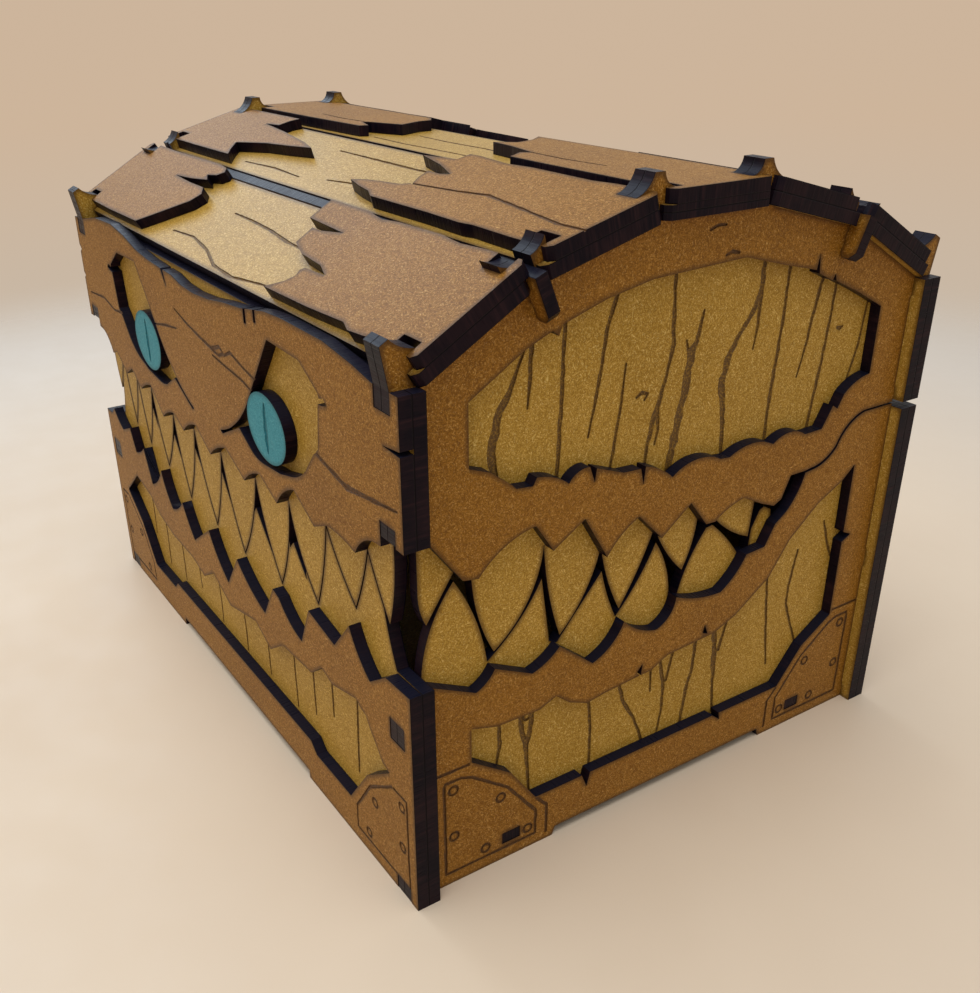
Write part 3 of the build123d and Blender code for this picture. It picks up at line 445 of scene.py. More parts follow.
@dataclass
class Paintbox:
    """Builds each material once, from the shared effects, and hands it out by name.

    The cutting smoke stains a board's flats to smoke_reach metres from its cut edges.
    """

    smoke_reach: float = 0.0017
    smoke_samples: int = 12
    smoke_ramp: Ramp = (0.50, 0.98, 0.85, 0.0)
    flat_specular: float = 0.14
    edge_specular: float = 0.07
    burnt_specular: float = 0.30
    specular_tint: Colour = (1.0, 0.88, 0.66, 1.0)
    coat_roughness: float = 0.34
    roof_lean: float = 0.5
    stipple: Noise = (2100.0, 2.0, 0.6)
    stipple_ramp: Ramp = (0.48, 0.66, 0.0, 0.75)
    bump_strength: float = 0.6
    board_bump: float = 0.00016
    burnt_bump: float = 0.00020
    metal_bump: float = 0.00003
    fibre: NodeTree = field(default_factory=lambda: Fibreboard().build())
    char: NodeTree = field(default_factory=lambda: CutEdge().build())
    brush: NodeTree = field(default_factory=lambda: BrushedMetal().build())
    made: dict[str, Material] = field(default_factory=dict)

    def start(self, name: str) -> tuple[Tree, Node]:
        """Start a material.

        Args:
            name: The material's name.

        Returns:
            Its tree and its Principled node.
        """
        material = bpy.data.materials.new(name)
        material.use_nodes = True
        self.made[name] = material
        return Tree(material.node_tree), material.node_tree.nodes["Principled BSDF"]

    def bump(self, tree: Tree, shader: Node, height: Socket, depth: float) -> None:
        """Feed a height through a bump node into the shader's normal."""
        node = tree.add("Bump", {"Strength": self.bump_strength, "Distance": depth, "Height": height})
        tree.fill(shader.inputs, {"Normal": node.outputs["Normal"]})

    def smoke(self, tree: Tree) -> Socket:
        """How much the cutting smoke stains a flat, by its nearness to a cut edge."""
        near_edge = tree.add("AmbientOcclusion", {"Distance": self.smoke_reach},
                             samples=self.smoke_samples, inside=True, only_local=True)
        return tree.ramp(near_edge.outputs["AO"], self.smoke_ramp)

    def board(self, finish: BoardFinish, facing: Facing, outer_flat: float) -> Material:
        """Painted flats and charred cut edges of the boards that look one way.

        Args:
            finish: The board's paint.
            facing: The way it looks.
            outer_flat: Distance of its outer flat from the origin, in metres. The layers behind and
                in front of it are one thickness apart, so they share the material.

        Returns:
            The material.
        """
        name = f"{finish.name}_{facing.name.lower()}"
        if name in self.made:
            return self.made[name]
        tree, shader = self.start(name)
        paints = {"Paint": finish.paint, "Shade": finish.shade, "Fleck": finish.fleck}
        flat = tree.add("Group", paints, node_tree=self.fibre)
        stained = tree.mix(self.smoke(tree), flat.outputs["Color"], finish.burnt)
        sheet = {"Sheet": facing.normal, "Thickness": SHEET, "Outer flat": outer_flat}
        edge = tree.add("Group", sheet, node_tree=self.char)
        mask = edge.outputs["Mask"]
        gloss = finish.roof_gloss if facing.normal[2] > self.roof_lean else finish.gloss
        for socket, on_flat, on_edge in (
                ("Base Color", stained, edge.outputs["Color"]),
                ("Roughness", flat.outputs["Roughness"], edge.outputs["Roughness"]),
                ("Coat Weight", grey(gloss), edge.outputs["Sheen"]),
                ("Specular IOR Level", grey(self.flat_specular), grey(self.edge_specular))):
            tree.fill(shader.inputs, {socket: tree.mix(mask, on_flat, on_edge)})
        height = tree.mix(mask, flat.outputs["Height"], edge.outputs["Height"])
        self.bump(tree, shader, height, self.board_bump)
        tree.fill(shader.inputs, {"Coat Roughness": self.coat_roughness,
                                  "Specular Tint": self.specular_tint})
        return self.made[name]

    def burnt(self, finish: BoardFinish) -> Material:
        """Floor and walls of the lines burnt into a board."""
        name = f"{finish.name}_burnt"
        if name in self.made:
            return self.made[name]
        tree, shader = self.start(name)
        paints = {"Paint": finish.burnt, "Shade": finish.burnt, "Fleck": finish.shade}
        flat = tree.add("Group", paints, node_tree=self.fibre)
        grain = tree.noise(tree.add("TexCoord").outputs["Object"], self.stipple)
        stipple = tree.ramp(grain, self.stipple_ramp)
        self.bump(tree, shader, flat.outputs["Height"], self.burnt_bump)
        tree.fill(shader.inputs, {"Base Color": tree.mix(stipple, flat.outputs["Color"], finish.shade),
                                  "Roughness": flat.outputs["Roughness"],
                                  "Specular IOR Level": self.burnt_specular})
        return self.made[name]

    def metal(self, finish: MetalFinish) -> Material:
        """Brushed and tarnished metal."""
        if finish.name in self.made:
            return self.made[finish.name]
        tree, shader = self.start(finish.name)
        look = {"Metal": finish.metal, "Tarnish": finish.tarnish, "Roughness": finish.roughness}
        brushed = tree.add("Group", look, node_tree=self.brush).outputs
        self.bump(tree, shader, brushed["Height"], self.metal_bump)
        tree.fill(shader.inputs, {"Base Color": brushed["Color"], "Roughness": brushed["Roughness"],
                                  "Metallic": 1.0})
        return self.made[finish.name]

    def table(self, finish: TableFinish) -> Material:
        """Pale table top with a faint cloudiness, which runs out softly into the surround."""
        tree, shader = self.start(finish.name)
        place = tree.add("TexCoord").outputs["Object"]
        cloud = tree.ramp(tree.noise(place, finish.cloud), finish.cloud_ramp)
        reach = tree.vector("LENGTH", place).outputs["Value"]
        warm = tree.mix(cloud, finish.dark, finish.light)
        paler = tree.ramp(reach, finish.pale_ramp)
        grain = tree.noise(place, finish.grain)
        tree.fill(shader.inputs, {"Base Color": tree.mix(paler, warm, finish.pale),
                                  "Roughness": tree.ramp(grain, finish.roughness),
                                  "Alpha": tree.ramp(reach, finish.fade_ramp)})
        return self.made[finish.name]


def deselect() -> None:
    """Leave nothing selected and no object in edit mode."""
    if bpy.context.mode != "OBJECT":
        bpy.ops.object.mode_set(mode="OBJECT")
    bpy.ops.object.select_all(action="DESELECT")


def activate(piece: Object) -> None:
    """Select one object alone and make it the active one."""
    deselect()
    piece.select_set(True)
    bpy.context.view_layer.objects.active = piece


def dress(piece: Object, material: Material) -> None:
    """Give a piece one material and no other."""
    piece.data.materials.clear()
    piece.data.materials.append(material)


@dataclass
class Burner:
    """Cuts burnt lines into boards as shallow grooves with ragged sides.

    Depth and above are in metres, below and over the flat; step and spread are in millimetres.
    """

    depth: float = 0.28 * MM
    above: float = 0.30 * MM
    floor_share: float = 0.6
    step: float = 1.6
    ragged: float = 0.22
    spread: float = 0.25

    def finer(self, line: Line, chance: random.Random) -> Line:
        """Divide a line into short steps whose widths and places wander a little."""
        fine: Line = []
        spread = [(u, v, w + self.spread) for u, v, w in line]
        for (u0, v0, w0), (u1, v1, w1) in zip(spread, spread[1:]):
            count = max(1, round(math.hypot(u1 - u0, v1 - v0) / self.step))
            for i in range(count):
                t = i / count
                drift = chance.uniform(-0.5, 0.5) * self.ragged * (w0 + (w1 - w0) * t) if i else 0.0
                width = (w0 + (w1 - w0) * t) * (1.0 + chance.uniform(-self.ragged, self.ragged))
                fine.append((u0 + (u1 - u0) * t + drift, v0 + (v1 - v0) * t, width))
        fine.append(spread[-1])
        return fine

    def strip(self, mesh: bmesh.types.BMesh, points: Line, board: "Board") -> None:
        """Add one closed strip along a line, wide above the board's flat and narrow below it.

        Args:
            mesh: The mesh that it goes into.
            points: The divided line.
            board: The board that it lies on.
        """
        corners = ((1.0, self.above), (-1.0, self.above),
                   (-self.floor_share, -self.depth), (self.floor_share, -self.depth))
        rings = []
        for i, (u, v, width) in enumerate(points):
            before, after = points[max(i - 1, 0)], points[min(i + 1, len(points) - 1)]
            run, rise = after[0] - before[0], after[1] - before[1]
            size = math.hypot(run, rise) or 1.0
            side = (-rise / size * width / 2, run / size * width / 2)
            rings.append([mesh.verts.new(board.point(u + side[0] * share, v + side[1] * share, out))
                          for share, out in corners])
        for near, far in zip(rings, rings[1:]):
            for i in range(4):
                mesh.faces.new((near[i], near[(i + 1) % 4], far[(i + 1) % 4], far[i]))
        mesh.faces.new(rings[0])
        mesh.faces.new(reversed(rings[-1]))

    def cutter(self, name: str, lines: list[Line], board: "Board") -> Object:
        """Make one closed strip for each line, standing a little proud of the board.

        Args:
            name: Name of the object, which also sets how its lines wander.
            lines: The lines of the board.
            board: The board that they lie on.

        Returns:
            The object that holds all the strips.
        """
        mesh = bmesh.new()
        chance = random.Random(name)
        for line in lines:
            self.strip(mesh, self.finer(line, chance), board)
        bmesh.ops.recalc_face_normals(mesh, faces=mesh.faces)
        data = bpy.data.meshes.new(name)
        mesh.to_mesh(data)
        mesh.free()
        tool = bpy.data.objects.new(name, data)
        bpy.context.scene.collection.objects.link(tool)
        return tool


@dataclass
class Board:
    """A board of the box: the CAD node, the way it looks, its finish and its burnt lines.

    On the roof, low_edge is the height up the board that the lines give to its lowest corner, in
    millimetres. On the walls it is None, and heights count from the floor.
    """

    node: str
    facing: Facing
    finish: BoardFinish
    lines: list[Line] = field(default_factory=list)
    low_edge: float | None = None
    weld: float = 0.000002
    flat_angle: float = math.radians(0.5)

    @property
    def shown(self) -> Object:
        """The CAD node's own object."""
        return frame["nodes"][self.node]

    def reach(self, way: Vector) -> Pair:
        """Lowest and highest place of the CAD node along a direction."""
        places = [corner.co.dot(way) for corner in self.shown.data.vertices]
        return min(places), max(places)

    @cached_property
    def outer_flat(self) -> float:
        """Distance of the board's outer flat from the origin, in metres."""
        return self.reach(self.facing.normal)[1]

    @cached_property
    def rise(self) -> float:
        """Where heights up the board start, in metres."""
        return 0.0 if self.low_edge is None else self.reach(self.facing.up)[0] - self.low_edge * MM

    def point(self, u: float, v: float, out: float) -> Vector:
        """Place of a point of the board's outer flat.

        Args:
            u: Millimetres across the board, from the front wall on a side, else from the middle.
            v: Millimetres up the board.
            out: Metres out of its flat.

        Returns:
            The place, in metres.
        """
        facing = self.facing
        start = FRONT_Y if facing in (Facing.RIGHT, Facing.LEFT) else 0.0
        return (facing.across * (start + u * MM) + facing.up * (self.rise + v * MM)
                + facing.normal * (self.outer_flat + out))

    def look(self, box: Paintbox) -> Material:
        """The material that the board shares with the others that look its way."""
        return box.board(self.finish, self.facing, self.outer_flat)

    def copied(self) -> Object:
        """Copy of the CAD node under its own name, with its flats joined up again."""
        activate(self.shown)
        bpy.ops.object.duplicate()
        piece = bpy.context.view_layer.objects.active
        piece.name = f"engraved_{self.node}"
        piece.data.name = piece.name
        for key in [k for k in piece.keys() if k.startswith("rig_")]:
            del piece[key]
        bpy.ops.object.mode_set(mode="EDIT")
        bpy.ops.mesh.select_all(action="SELECT")
        bpy.ops.mesh.remove_doubles(threshold=self.weld)
        bpy.ops.mesh.dissolve_limited(angle_limit=self.flat_angle)
        bpy.ops.mesh.normals_make_consistent(inside=False)
        bpy.ops.object.mode_set(mode="OBJECT")
        return piece

    def cut(self, piece: Object, tool: Object) -> None:
        """Cut a tool's shape out of a piece, and leave no slivers."""
        activate(piece)
        step = piece.modifiers.new("burnt lines", "BOOLEAN")
        step.operation = "DIFFERENCE"
        step.solver = "EXACT"
        step.use_self = True
        step.material_mode = "TRANSFER"
        step.object = tool
        bpy.ops.object.modifier_apply(modifier=step.name)
        bpy.data.objects.remove(tool)
        bpy.ops.object.mode_set(mode="EDIT")
        bpy.ops.mesh.select_all(action="SELECT")
        bpy.ops.mesh.remove_doubles(threshold=self.weld)
        bpy.ops.mesh.quads_convert_to_tris(quad_method="BEAUTY", ngon_method="BEAUTY")
        bpy.ops.mesh.dissolve_degenerate(threshold=self.weld)
        bpy.ops.object.mode_set(mode="OBJECT")

    def engraved(self, box: Paintbox, burner: Burner) -> Object:
        """Copy the CAD node's mesh, cut the burnt lines into it and dress it.

        Args:
            box: The materials.
            burner: Makes the shape that cuts the lines.

        Returns:
            The new piece, which stands for the node.
        """
        piece = self.copied()
        dress(piece, self.look(box))
        tool = burner.cutter(f"cutter_{self.node}", self.lines, self)
        tool.data.materials.append(box.burnt(self.finish))
        self.cut(piece, tool)
        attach(piece, frame["nodes"][self.node]["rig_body"])
        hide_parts(self.node)
        return piece

    def build(self, box: Paintbox, burner: Burner) -> None:
        """Dress the board, with its lines if it has any, and report it."""
        if self.lines:
            piece = self.engraved(box, burner)
            LOG.info("%s: %d burnt lines, %d faces", piece.name, len(self.lines), len(piece.data.polygons))
        else:
            dress(self.shown, self.look(box))
            LOG.info("%s: painted", self.node)


def ring(u: float, v: float, radius: float, width: float = 0.5, sides: int = 12) -> Line:
    """Burnt ring, such as a rivet head drawn on a corner plate."""
    turns = [2.0 * math.pi * i / sides for i in range(sides + 1)]
    return [(u + radius * math.cos(t), v + radius * math.sin(t), width) for t in turns]


def flipped(lines: list[Line], middle: float = 0.0) -> list[Line]:
    """The same lines mirrored about an upright at middle."""
    return [[(2.0 * middle - u, v, w) for u, v, w in line] for line in lines]


def walls(half: str, liners: dict[str, list[Line]], faces: dict[str, list[Line]]) -> list[Board]:
    """Double walls of one half of the chest: a gold liner and a brown face on each side.

    Args:
        half: Name of the half.
        liners: Lines of the liners that have some, by wall.
        faces: Lines of the faces that have some, by wall.

    Returns:
        The boards.
    """
    found = []
    for wall, end, facing in (("front", "", Facing.FRONT), ("back", "", Facing.BACK),
                              ("side", "_right", Facing.RIGHT), ("side", "_left", Facing.LEFT)):
        found.append(Board(f"{half}_{wall}_liner{end}", facing, GOLD, liners.get(wall, [])))
        found.append(Board(f"{half}_{wall}_face{end}", facing, BROWN, faces.get(wall, [])))
    return found


@dataclass
class Base:
    """Lower half of the chest: floor and double walls, with corner plates drawn on them.

    Depth of the chest, radius of a rivet and width of a drawn line, all in millimetres.
    """

    depth: float = 153.4
    rivet: float = 1.2
    line: float = 0.7

    def front_plate(self) -> list[Line]:
        """Corner plate drawn at the lower right of the front."""
        w = self.line
        edge = [(94.0, 29.5, w), (83.0, 22.0, w), (75.2, 11.0, w), (75.0, 4.0, w),
                (100.3, 4.0, w), (100.3, 29.5, w), (94.5, 29.5, w)]
        rivets = ((98.0, 26.4), (85.0, 18.5), (97.6, 14.5), (81.0, 6.6))
        return [edge] + [ring(u, v, self.rivet) for u, v in rivets]

    def side_plate(self) -> list[Line]:
        """Corner plate drawn at the lower front of a side."""
        w = self.line
        inner = [(9.6, 30.1, w), (14.0, 30.1, w), (17.0, 29.0, w), (27.0, 21.5, w), (35.3, 10.5, w),
                 (35.3, 3.4, w), (9.6, 3.4, w), (9.6, 29.6, w)]
        top = [(6.5, 33.0, w), (16.4, 33.0, w)]
        toe = [(35.4, 14.2, w), (38.6, 10.8, w), (38.6, 2.0, w)]
        rivets = ((12.0, 27.4), (12.0, 14.0), (25.0, 19.3), (20.7, 6.0), (33.0, 6.0))
        return [inner, top, toe] + [ring(u, v, self.rivet) for u, v in rivets]

    def front_cracks(self) -> list[Line]:
        """Plank lines that show through the window of the front."""
        return [
            [(36.6, 33, 0.7), (36.4, 25, 0.9), (36.4, 15.5, 0.5)],
            [(48.4, 34, 0.6), (48.2, 26, 0.8), (48.1, 20, 0.4)],
            [(59.4, 38, 0.8), (59.2, 31, 0.8), (59.1, 26, 0.4)],
            [(72.9, 40, 0.7), (72.2, 29, 1), (71.4, 17, 0.6)],
            [(19, 32, 0.6), (18.6, 24, 0.8), (18.7, 16, 0.4)],
            [(2, 29, 0.5), (2.4, 21, 0.8), (1.9, 15, 0.5)],
            [(-17, 30, 0.6), (-16.6, 22, 0.8), (-17.2, 15, 0.4)],
            [(-33.6, 32, 0.8), (-34, 24, 0.6), (-33.8, 19, 0.3)],
            [(-49.4, 33, 0.6), (-49, 24, 0.9), (-49.3, 15, 0.5)],
            [(-64, 37, 0.8), (-63.6, 27, 0.9), (-64.4, 14, 0.6)],
            [(-76, 40, 0.7), (-75.4, 31, 0.9), (-76.2, 21, 0.5)]]

    def back_cracks(self) -> list[Line]:
        """Plank lines that show through the tall window of the back."""
        return [
            [(-70, 67, 0.6), (-69.2, 52, 0.9), (-70.4, 36, 1), (-69.6, 20, 0.8),
             (-69.9, 10, 0.6)],
            [(-58, 67, 0.5), (-57.2, 56, 0.8), (-57.8, 47, 0.3)],
            [(-47, 67, 0.8), (-47.6, 50, 1.1), (-45.4, 38, 1.6), (-46.8, 24, 1.1),
             (-46.2, 10, 0.8)],
            [(-43.6, 44, 0.3), (-44.8, 38.6, 0.9)],
            [(-31, 32, 0.3), (-30.4, 22, 0.8), (-31.2, 10, 0.7)],
            [(-22.4, 67, 0.7), (-23, 54, 0.9), (-21.6, 40, 0.8), (-22.6, 26, 1),
             (-22, 10, 0.7)],
            [(-9, 67, 0.5), (-8.4, 58, 0.7), (-8.8, 50, 0.3)],
            [(1.6, 67, 0.8), (2.2, 52, 1), (0.4, 37, 1.8), (1.8, 22, 1.2), (1.2, 10, 0.8)],
            [(3.6, 46, 0.4), (1.4, 39, 1)],
            [(14.6, 28, 0.3), (14, 19, 0.8), (14.4, 10, 0.6)],
            [(25, 67, 0.7), (24.4, 51, 1), (25.6, 35, 0.8), (24.6, 22, 0.9), (25.2, 10, 0.7)],
            [(38, 67, 0.4), (38.6, 57, 0.8), (38, 44, 0.3)],
            [(49.4, 67, 0.8), (48.8, 50, 1.2), (50.6, 37, 1.5), (49.2, 24, 1), (49.8, 10, 0.8)],
            [(60.6, 40, 0.3), (60, 26, 0.9), (60.4, 10, 0.6)],
            [(70.6, 67, 0.6), (70, 50, 0.9), (71, 30, 0.9), (70.4, 10, 0.6)]]

    def side_cracks(self) -> list[Line]:
        """Plank lines, splits and knots that show through the lower window of a side."""
        return [
            [(26.6, 38.5, 1), (26.6, 31, 1.2), (25.8, 26.6, 0.5)],
            [(32.4, 38.6, 1), (33, 33, 1.6), (34.2, 28, 1.5), (34.8, 22, 0.9), (35.3, 14, 0.6)],
            [(36.2, 38.4, 1), (35.3, 33, 1.5), (34.5, 28.6, 1)],
            [(52.6, 35.6, 0.9), (53.7, 26.6, 0.8), (53.9, 18.9, 0.7), (53.9, 13, 0.7)],
            [(61.8, 36.6, 1), (64.3, 28.8, 1), (68.2, 22.2, 0.8), (71.8, 13, 0.8)],
            [(72.4, 37.8, 0.8), (73, 28.8, 0.3)],
            [(75.4, 38.6, 0.9), (77.4, 28.8, 1.2), (77.5, 22.2, 0.8), (76.4, 14.6, 0.5)],
            [(80, 39, 0.7), (78.2, 30, 0.8)],
            [(87.7, 40, 1.2), (87.3, 31, 1), (85.7, 24.4, 1.2), (84.4, 13, 0.9)],
            [(94.2, 40.4, 2), (95, 29.9, 1.9), (95.5, 22.2, 1), (96.4, 13, 0.8)],
            [(98.6, 42, 0.8), (96.2, 32.6, 1.4)],
            [(111.7, 50.6, 0.7), (113, 39.7, 0.9), (114.1, 32.1, 0.8), (115.8, 21.1, 0.4)],
            [(122.5, 55, 0.7), (120.7, 44.1, 1), (120.8, 38.6, 0.8), (123.4, 32.1, 0.8),
             (126.6, 24.6, 0.6)],
            [(131.4, 61, 0.5), (134.2, 53.4, 0.8), (136.4, 48.8, 0.5)],
            ring(34.3, 37, 1),
            ring(95.6, 42.4, 1.1)]

    def boards(self) -> list[Board]:
        """All boards of the base."""
        front_plates = self.front_plate() + flipped(self.front_plate())
        side_plates = self.side_plate() + flipped(self.side_plate(), self.depth / 2)
        liners = {"front": self.front_cracks(), "back": self.back_cracks(), "side": self.side_cracks()}
        faces = {"front": front_plates, "back": front_plates, "side": side_plates}
        return [Board("floor_panel", Facing.UP, GOLD), *walls("base", liners, faces)]


@dataclass
class Lid:
    """Upper half of the chest: double walls, the faceted roof with its broken planks, and the ribs.

    The two rows of heights are where the planks and the panels of facets 1, 2 and 3 begin, up the
    slope from the facet's lower edge, in millimetres. Facets 4 and 5 repeat 2 and 1.
    """

    plank_starts: Triple = (1.5, 3.4, 1.5)
    panel_starts: Triple = (0.0, 1.6, 0.25)

    def front_cracks(self) -> list[Line]:
        """Cracks across the forehead, between and beside the eyes."""
        return [
            [(65.7, 101.1, 1), (72.1, 99.7, 1.2), (80.6, 98, 1.6), (91.9, 99.4, 1.1),
             (101.8, 100.7, 0.3)],
            [(-15.5, 113.6, 0.3), (-7.1, 111.7, 0.6), (1.4, 110.3, 0.8), (9.9, 109.2, 1),
             (15.5, 111, 0.9), (18.4, 109.6, 0.9), (22.6, 111.3, 0.8), (29.7, 109.6, 0.8),
             (38.4, 108.2, 0.7)],
            [(10.2, 109, 0.8), (14.6, 108.6, 0.6), (18.2, 109.8, 0.7)],
            [(9.9, 107.5, 0.3), (18.4, 106.8, 0.8), (28.3, 106.1, 0.6), (35.8, 104.6, 0.6)],
            [(-35.4, 104.9, 0.3), (-24, 107.1, 0.7), (-15.5, 108.2, 0.3)],
            [(-66, 101, 0.8), (-74, 100.2, 0.6), (-84, 102, 0.7), (-99, 100.6, 0.3)]]

    def side_cracks(self) -> list[Line]:
        """Plank lines, splits and knots that show through the upper window of a side."""
        return [
            [(32, 125.6, 0.5), (28.8, 117.9, 1.2), (26.2, 114, 2.3), (24.6, 108, 2.4),
             (24.4, 104, 2.6), (25.8, 98.4, 1.6)],
            [(33.8, 126.4, 1.3), (33.5, 118.5, 0.8), (33, 113, 0.3)],
            [(41.9, 130, 1), (41.7, 116.3, 0.8), (41.4, 108.6, 1.1), (41, 94, 0.9)],
            [(55.2, 133.6, 1), (52.8, 126.1, 0.9), (52, 119.6, 0.8), (50.7, 111.9, 0.8),
             (49, 103.2, 0.3)],
            [(58.5, 117.9, 0.3), (57.8, 109.7, 0.6), (55.4, 93, 0.8)],
            [(70.7, 136, 0.8), (71.2, 124, 1), (71.7, 119.6, 1.2), (70.3, 113, 0.8),
             (67.6, 104.3, 1.6), (66, 97.7, 1.1), (65.6, 91, 0.8)],
            [(68.4, 105.6, 1), (68.9, 101, 0.7), (68.1, 97.2, 0.3)],
            [(80, 126, 0.4), (78.8, 120.4, 1.3), (77.1, 116.3, 2.6), (76.3, 108.6, 2.5),
             (74.7, 101, 2.6), (72.7, 89, 2.4)],
            [(75.4, 120, 0.4), (76.4, 116.8, 1)],
            [(97.2, 135, 1.4), (96.9, 127.2, 1.9), (95, 122.9, 1.5), (91.1, 117.9, 1.2),
             (88.5, 113, 2.1), (87.4, 107.5, 2.3), (88.7, 101, 1.5), (89.6, 89.6, 1)],
            [(97.2, 127.8, 1.3), (97.2, 119.6, 0.8), (96.4, 114.1, 0.3)],
            [(105.6, 133, 1), (105.4, 121.8, 0.8), (104.8, 110.8, 1.1), (104, 101, 1.2),
             (103.7, 89.4, 1)],
            [(117.6, 128.8, 1), (116.3, 122.9, 1.1), (115.2, 117.4, 0.8), (114.7, 113, 0.7),
             (112.5, 104.3, 0.3)],
            [(122.4, 127, 0.8), (121.8, 116.3, 0.8), (120.7, 105.4, 1), (118.5, 88.8, 1)],
            [(135, 119.6, 0.5), (133.8, 108.6, 0.7), (131.4, 100.4, 0.5)],
            [(61.8, 109.4, 0.4), (63.4, 110.4, 0.9), (65.2, 109.8, 0.7), (64.2, 108.4, 0.4)],
            [(124.6, 114.6, 0.5), (126, 114.2, 1), (127, 114.6, 0.4)]]

    def side_marks(self) -> list[Line]:
        """Small nicks on the brown frame of a side."""
        return [
            [(81.6, 137.8, 0.4), (83.6, 138.4, 0.9), (85.8, 137.9, 0.5)],
            [(76.4, 143.6, 0.3), (78.8, 144.4, 0.7), (81.2, 144.2, 0.3)]]

    def panel_cracks(self) -> dict[int, list[Line]]:
        """Cracks along the gold panels of the lid, by the number of the facet."""
        return {
            1: [[(-15.4, 18.2, 0.3), (-5, 18, 0.7), (8.4, 17.4, 0.9), (20.5, 16.1, 0.8),
                 (30, 15.8, 0.4)],
                [(-34.8, 5.8, 0.3), (-21.1, 6.6, 0.6), (-7.7, 4.8, 0.8), (3, 1.8, 0.8), (15.3, 1.1, 0.7),
                 (28.1, 2.7, 0.5), (36, 3.5, 0.3)]],
            2: [[(-20, 24, 0.3), (0, 23.8, 0.8), (20, 23.6, 0.9), (33, 23.8, 0.5)],
                [(0, 9, 0.4), (15, 11, 0.9), (30, 13, 0.7), (37, 12.4, 0.5)],
                [(-48, 6.6, 0.3), (-30, 7.6, 0.8), (-12, 6.8, 0.3)]],
            3: [[(-20, 17.6, 0.3), (-4, 16.8, 0.8), (14, 17.4, 0.9), (26, 16.6, 0.4)],
                [(-26, 6, 0.4), (-8, 5.4, 0.9), (16, 6.4, 0.7), (34, 6.2, 0.3)]]}

    def plank_cracks(self) -> dict[str, list[Line]]:
        """Cracks in the broken planks, by the number of the facet and the end that they lie at."""
        return {
            "2_right": [[(38.4, 12.7, 0.5), (55, 14.2, 0.7), (66, 15.7, 0.9), (80, 14, 0.8),
                         (95, 12, 0.9), (104, 12.3, 0.6)]],
            "3_left": [[(-36.6, 9, 0.6), (-50, 8, 0.8), (-64, 8.8, 0.3)]],
            "3_right": [[(45, 9.8, 0.6), (58, 9.2, 0.8), (72, 10.4, 0.3)]]}

    def roof(self) -> list[Board]:
        """Panels, broken planks and ribs of the lid with their lines."""
        facings = (Facing.LOW_FRONT, Facing.MID_FRONT, Facing.UP, Facing.MID_BACK, Facing.LOW_BACK)
        found = [Board("clip_rib_front", Facing.RIB_FRONT, BROWN),
                 Board("clip_rib_rear", Facing.RIB_BACK, BROWN)]
        for number, facing in enumerate(facings, 1):
            like = min(number, len(facings) + 1 - number)
            found.append(Board(f"lid_panel_{number}", facing, GOLD, self.panel_cracks()[like],
                               self.panel_starts[like - 1]))
            for end, other in (("left", "right"), ("right", "left")):
                drawn_end = other if facing.turned else end
                lines = self.plank_cracks().get(f"{like}_{drawn_end}", [])
                found.append(Board(f"lid_plank_{number}_{end}", facing, BROWN, lines,
                                   self.plank_starts[like - 1]))
        return found

    def boards(self) -> list[Board]:
        """All boards of the lid."""
        faces = {"front": self.front_cracks(), "side": self.side_marks()}
        return walls("lid", {"side": self.side_cracks()}, faces) + self.roof()


@dataclass
class Eyes:
    """The two painted eyes with their upright slits, in millimetres across and up the front."""

    right: Pair = (40.4, 97.7)
    left: Pair = (-43.5, 98.0)
    slit_height: float = 12.6
    slit_width: float = 2.2
    taper: tuple[Pair, ...] = (
        (-1.0, 0.2), (-0.72, 0.75), (-0.3, 1.0), (0.3, 1.0), (0.72, 0.75), (1.0, 0.2))

    def slit(self, u: float, v: float) -> list[Line]:
        """Pointed slit through the middle of an eye."""
        half = self.slit_height / 2
        return [[(u, v + half * place, self.slit_width * share) for place, share in self.taper]]

    def boards(self) -> list[Board]:
        """Both eyes."""
        return [Board("eye_right", Facing.FRONT, TEAL, self.slit(*self.right)),
                Board("eye_left", Facing.FRONT, TEAL, self.slit(*self.left))]


@dataclass
class Hinges:
    """The two brass butt hinges on the back, with their screws and pins."""

    start: str = "hinge_"
    leaf: str = "leaf"

    def build(self, box: Paintbox) -> None:
        """Dress the leaves, and the screws and pins in their own metal."""
        for name, shown in frame["nodes"].items():
            if name.startswith(self.start):
                finish = BRASS if self.leaf in name else STEEL
                dress(shown, box.metal(finish))
                LOG.info("%s: %s", name, finish.name)


@dataclass(frozen=True)
class Camera:
    """Camera at the photograph's viewing angle, in metres, degrees and pixels of its picture."""

    place: Triple = (0.2628, -0.1650, 0.1890)
    azimuth: float = 57.16
    elevation: float = 27.19
    roll: float = -0.60
    focal_px: float = 1082.0
    centre_px: Pair = (467.4, 539.3)
    image_px: tuple[int, int] = (980, 993)
    sensor: float = 36.0
    nearest: float = 0.01

    def build(self) -> None:
        """Add the camera and make it the scene's."""
        az, el, roll = (math.radians(a) for a in (self.azimuth, self.elevation, self.roll))
        back = Vector((math.sin(az) * math.cos(el), -math.cos(az) * math.cos(el), math.sin(el)))
        right = (-back).cross(Vector((0.0, 0.0, 1.0))).normalized()
        up = right.cross(-back)
        turned_right = math.cos(roll) * right + math.sin(roll) * up
        turned_up = -math.sin(roll) * right + math.cos(roll) * up
        data = bpy.data.cameras.new("camera")
        side = max(self.image_px)
        data.sensor_width = self.sensor
        data.lens = self.focal_px * self.sensor / side
        data.shift_x = (self.image_px[0] / 2 - self.centre_px[0]) / side
        data.shift_y = (self.centre_px[1] - self.image_px[1] / 2) / side
        data.clip_start = self.nearest
        camera = bpy.data.objects.new("camera", data)
        bpy.context.scene.collection.objects.link(camera)
        turn = Matrix((turned_right, turned_up, back)).transposed().to_4x4()
        camera.matrix_world = Matrix.Translation(self.place) @ turn
        bpy.context.scene.camera = camera


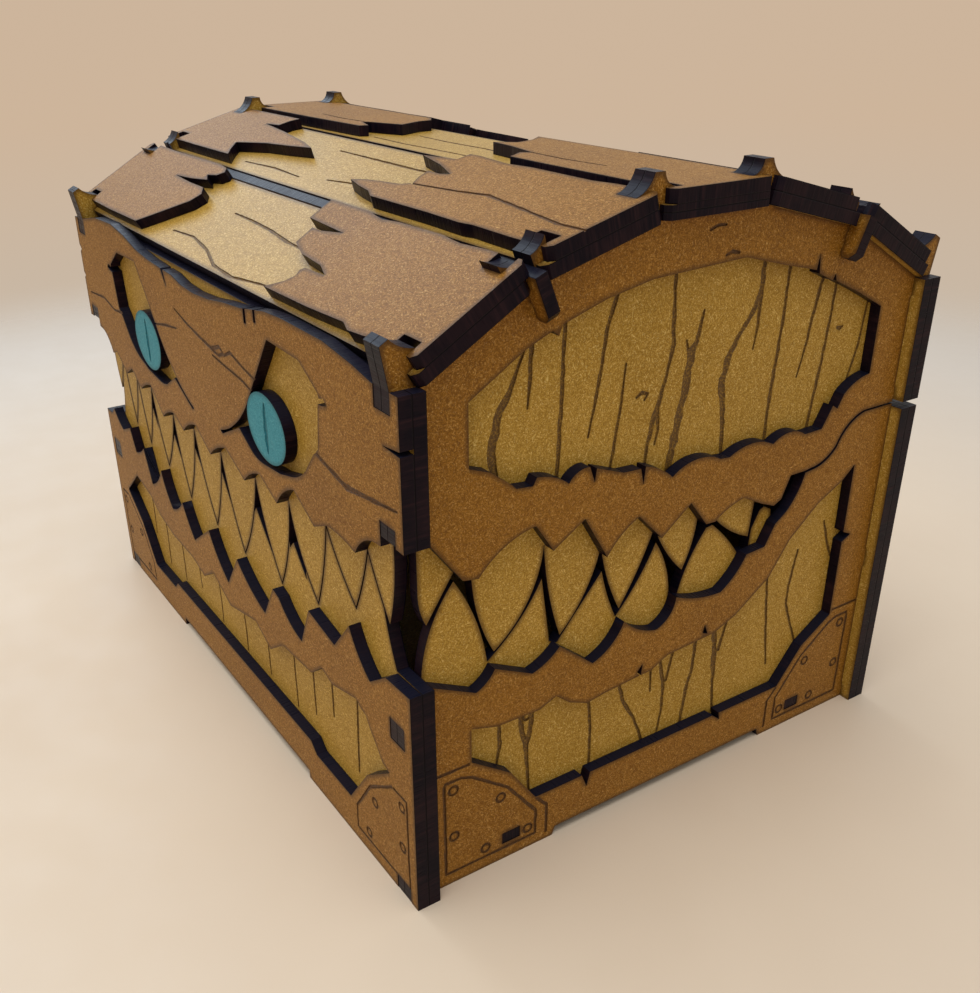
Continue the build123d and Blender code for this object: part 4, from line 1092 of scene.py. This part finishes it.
@dataclass(frozen=True)
class SoftLight:
    """Square soft light: its name, its place and side in metres, its watts and its colour."""

    name: str
    place: Triple
    side: float
    power: float
    colour: Triple

    def build(self, target: Triple) -> None:
        """Hang the light so that it looks at the target."""
        data = bpy.data.lights.new(self.name, "AREA")
        data.size = self.side
        data.energy = self.power
        data.color = self.colour
        lamp = bpy.data.objects.new(self.name, data)
        lamp.location = self.place
        lamp.rotation_euler = (Vector(target) - Vector(self.place)).to_track_quat("-Z", "Y").to_euler()
        bpy.context.scene.collection.objects.link(lamp)


@dataclass(frozen=True)
class Studio:
    """Pale table that runs out into a warm pale surround, under soft lights.

    The surround's colours stand from straight down, at 0, through the horizon to straight up, at 1.
    """

    table_radius: float = 0.80
    table_sides: int = 96
    middle: Triple = (0.0, 0.0, 0.10)
    lights: tuple[SoftLight, ...] = (
        SoftLight("window", (-1.42, 0.00, 1.08), 1.0, 8.3, (0.70, 0.85, 1.0)),
        SoftLight("ceiling", (0.16, -0.42, 1.60), 1.4, 18.5, (0.94, 0.97, 1.0)))
    strength: float = 0.78
    surround: tuple[tuple[float, Colour], ...] = (
        (0.00, (0.62, 0.50, 0.38, 1)),
        (0.33, (0.740, 0.640, 0.525, 1)),
        (0.38, (0.740, 0.610, 0.480, 1)),
        (0.45, (0.785, 0.590, 0.422, 1)),
        (0.52, (0.775, 0.590, 0.427, 1)),
        (0.58, (0.820, 0.790, 0.760, 1)),
        (0.75, (0.880, 0.910, 0.950, 1)),
        (1.00, (0.640, 0.700, 0.780, 1)))

    def world(self) -> bpy.types.World:
        """Surround that turns from warm and pale at the table to cool overhead."""
        world = bpy.data.worlds.new("surround")
        world.use_nodes = True
        tree = Tree(world.node_tree)
        split = tree.add("SeparateXYZ", {0: tree.add("TexCoord").outputs["Generated"]})
        ramp = tree.add("ValToRGB", {0: tree.math("MULTIPLY_ADD", split.outputs["Z"], 0.5, 0.5)})
        stops = ramp.color_ramp.elements
        while len(stops) < len(self.surround):
            stops.new(0.5)
        for stop, (place, colour) in zip(stops, self.surround):
            stop.position = place
            stop.color = colour
        shade = world.node_tree.nodes["Background"]
        tree.fill(shade.inputs, {"Color": ramp.outputs[0], "Strength": self.strength})
        return world

    def build(self, box: Paintbox) -> None:
        """Add the table, the surround and the lights."""
        deselect()
        bpy.ops.mesh.primitive_circle_add(vertices=self.table_sides, radius=self.table_radius,
                                          fill_type="NGON")
        table = bpy.context.view_layer.objects.active
        table.name = "table"
        table.data.materials.append(box.table(TableFinish()))
        bpy.context.scene.world = self.world()
        bpy.context.scene.view_settings.view_transform = "Standard"
        for light in self.lights:
            light.build(self.middle)


def main() -> None:
    """Build the chest, its camera and its studio, and report each piece."""
    logging.basicConfig(level=logging.INFO, format="%(name)s %(message)s")
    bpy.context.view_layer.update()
    Camera().build()
    box = Paintbox()
    burner = Burner()
    for assembly in (Base(), Lid(), Eyes()):
        for board in assembly.boards():
            board.build(box, burner)
    Hinges().build(box)
    Studio().build(box)
    deselect()


if __name__ == "__main__":
    main()
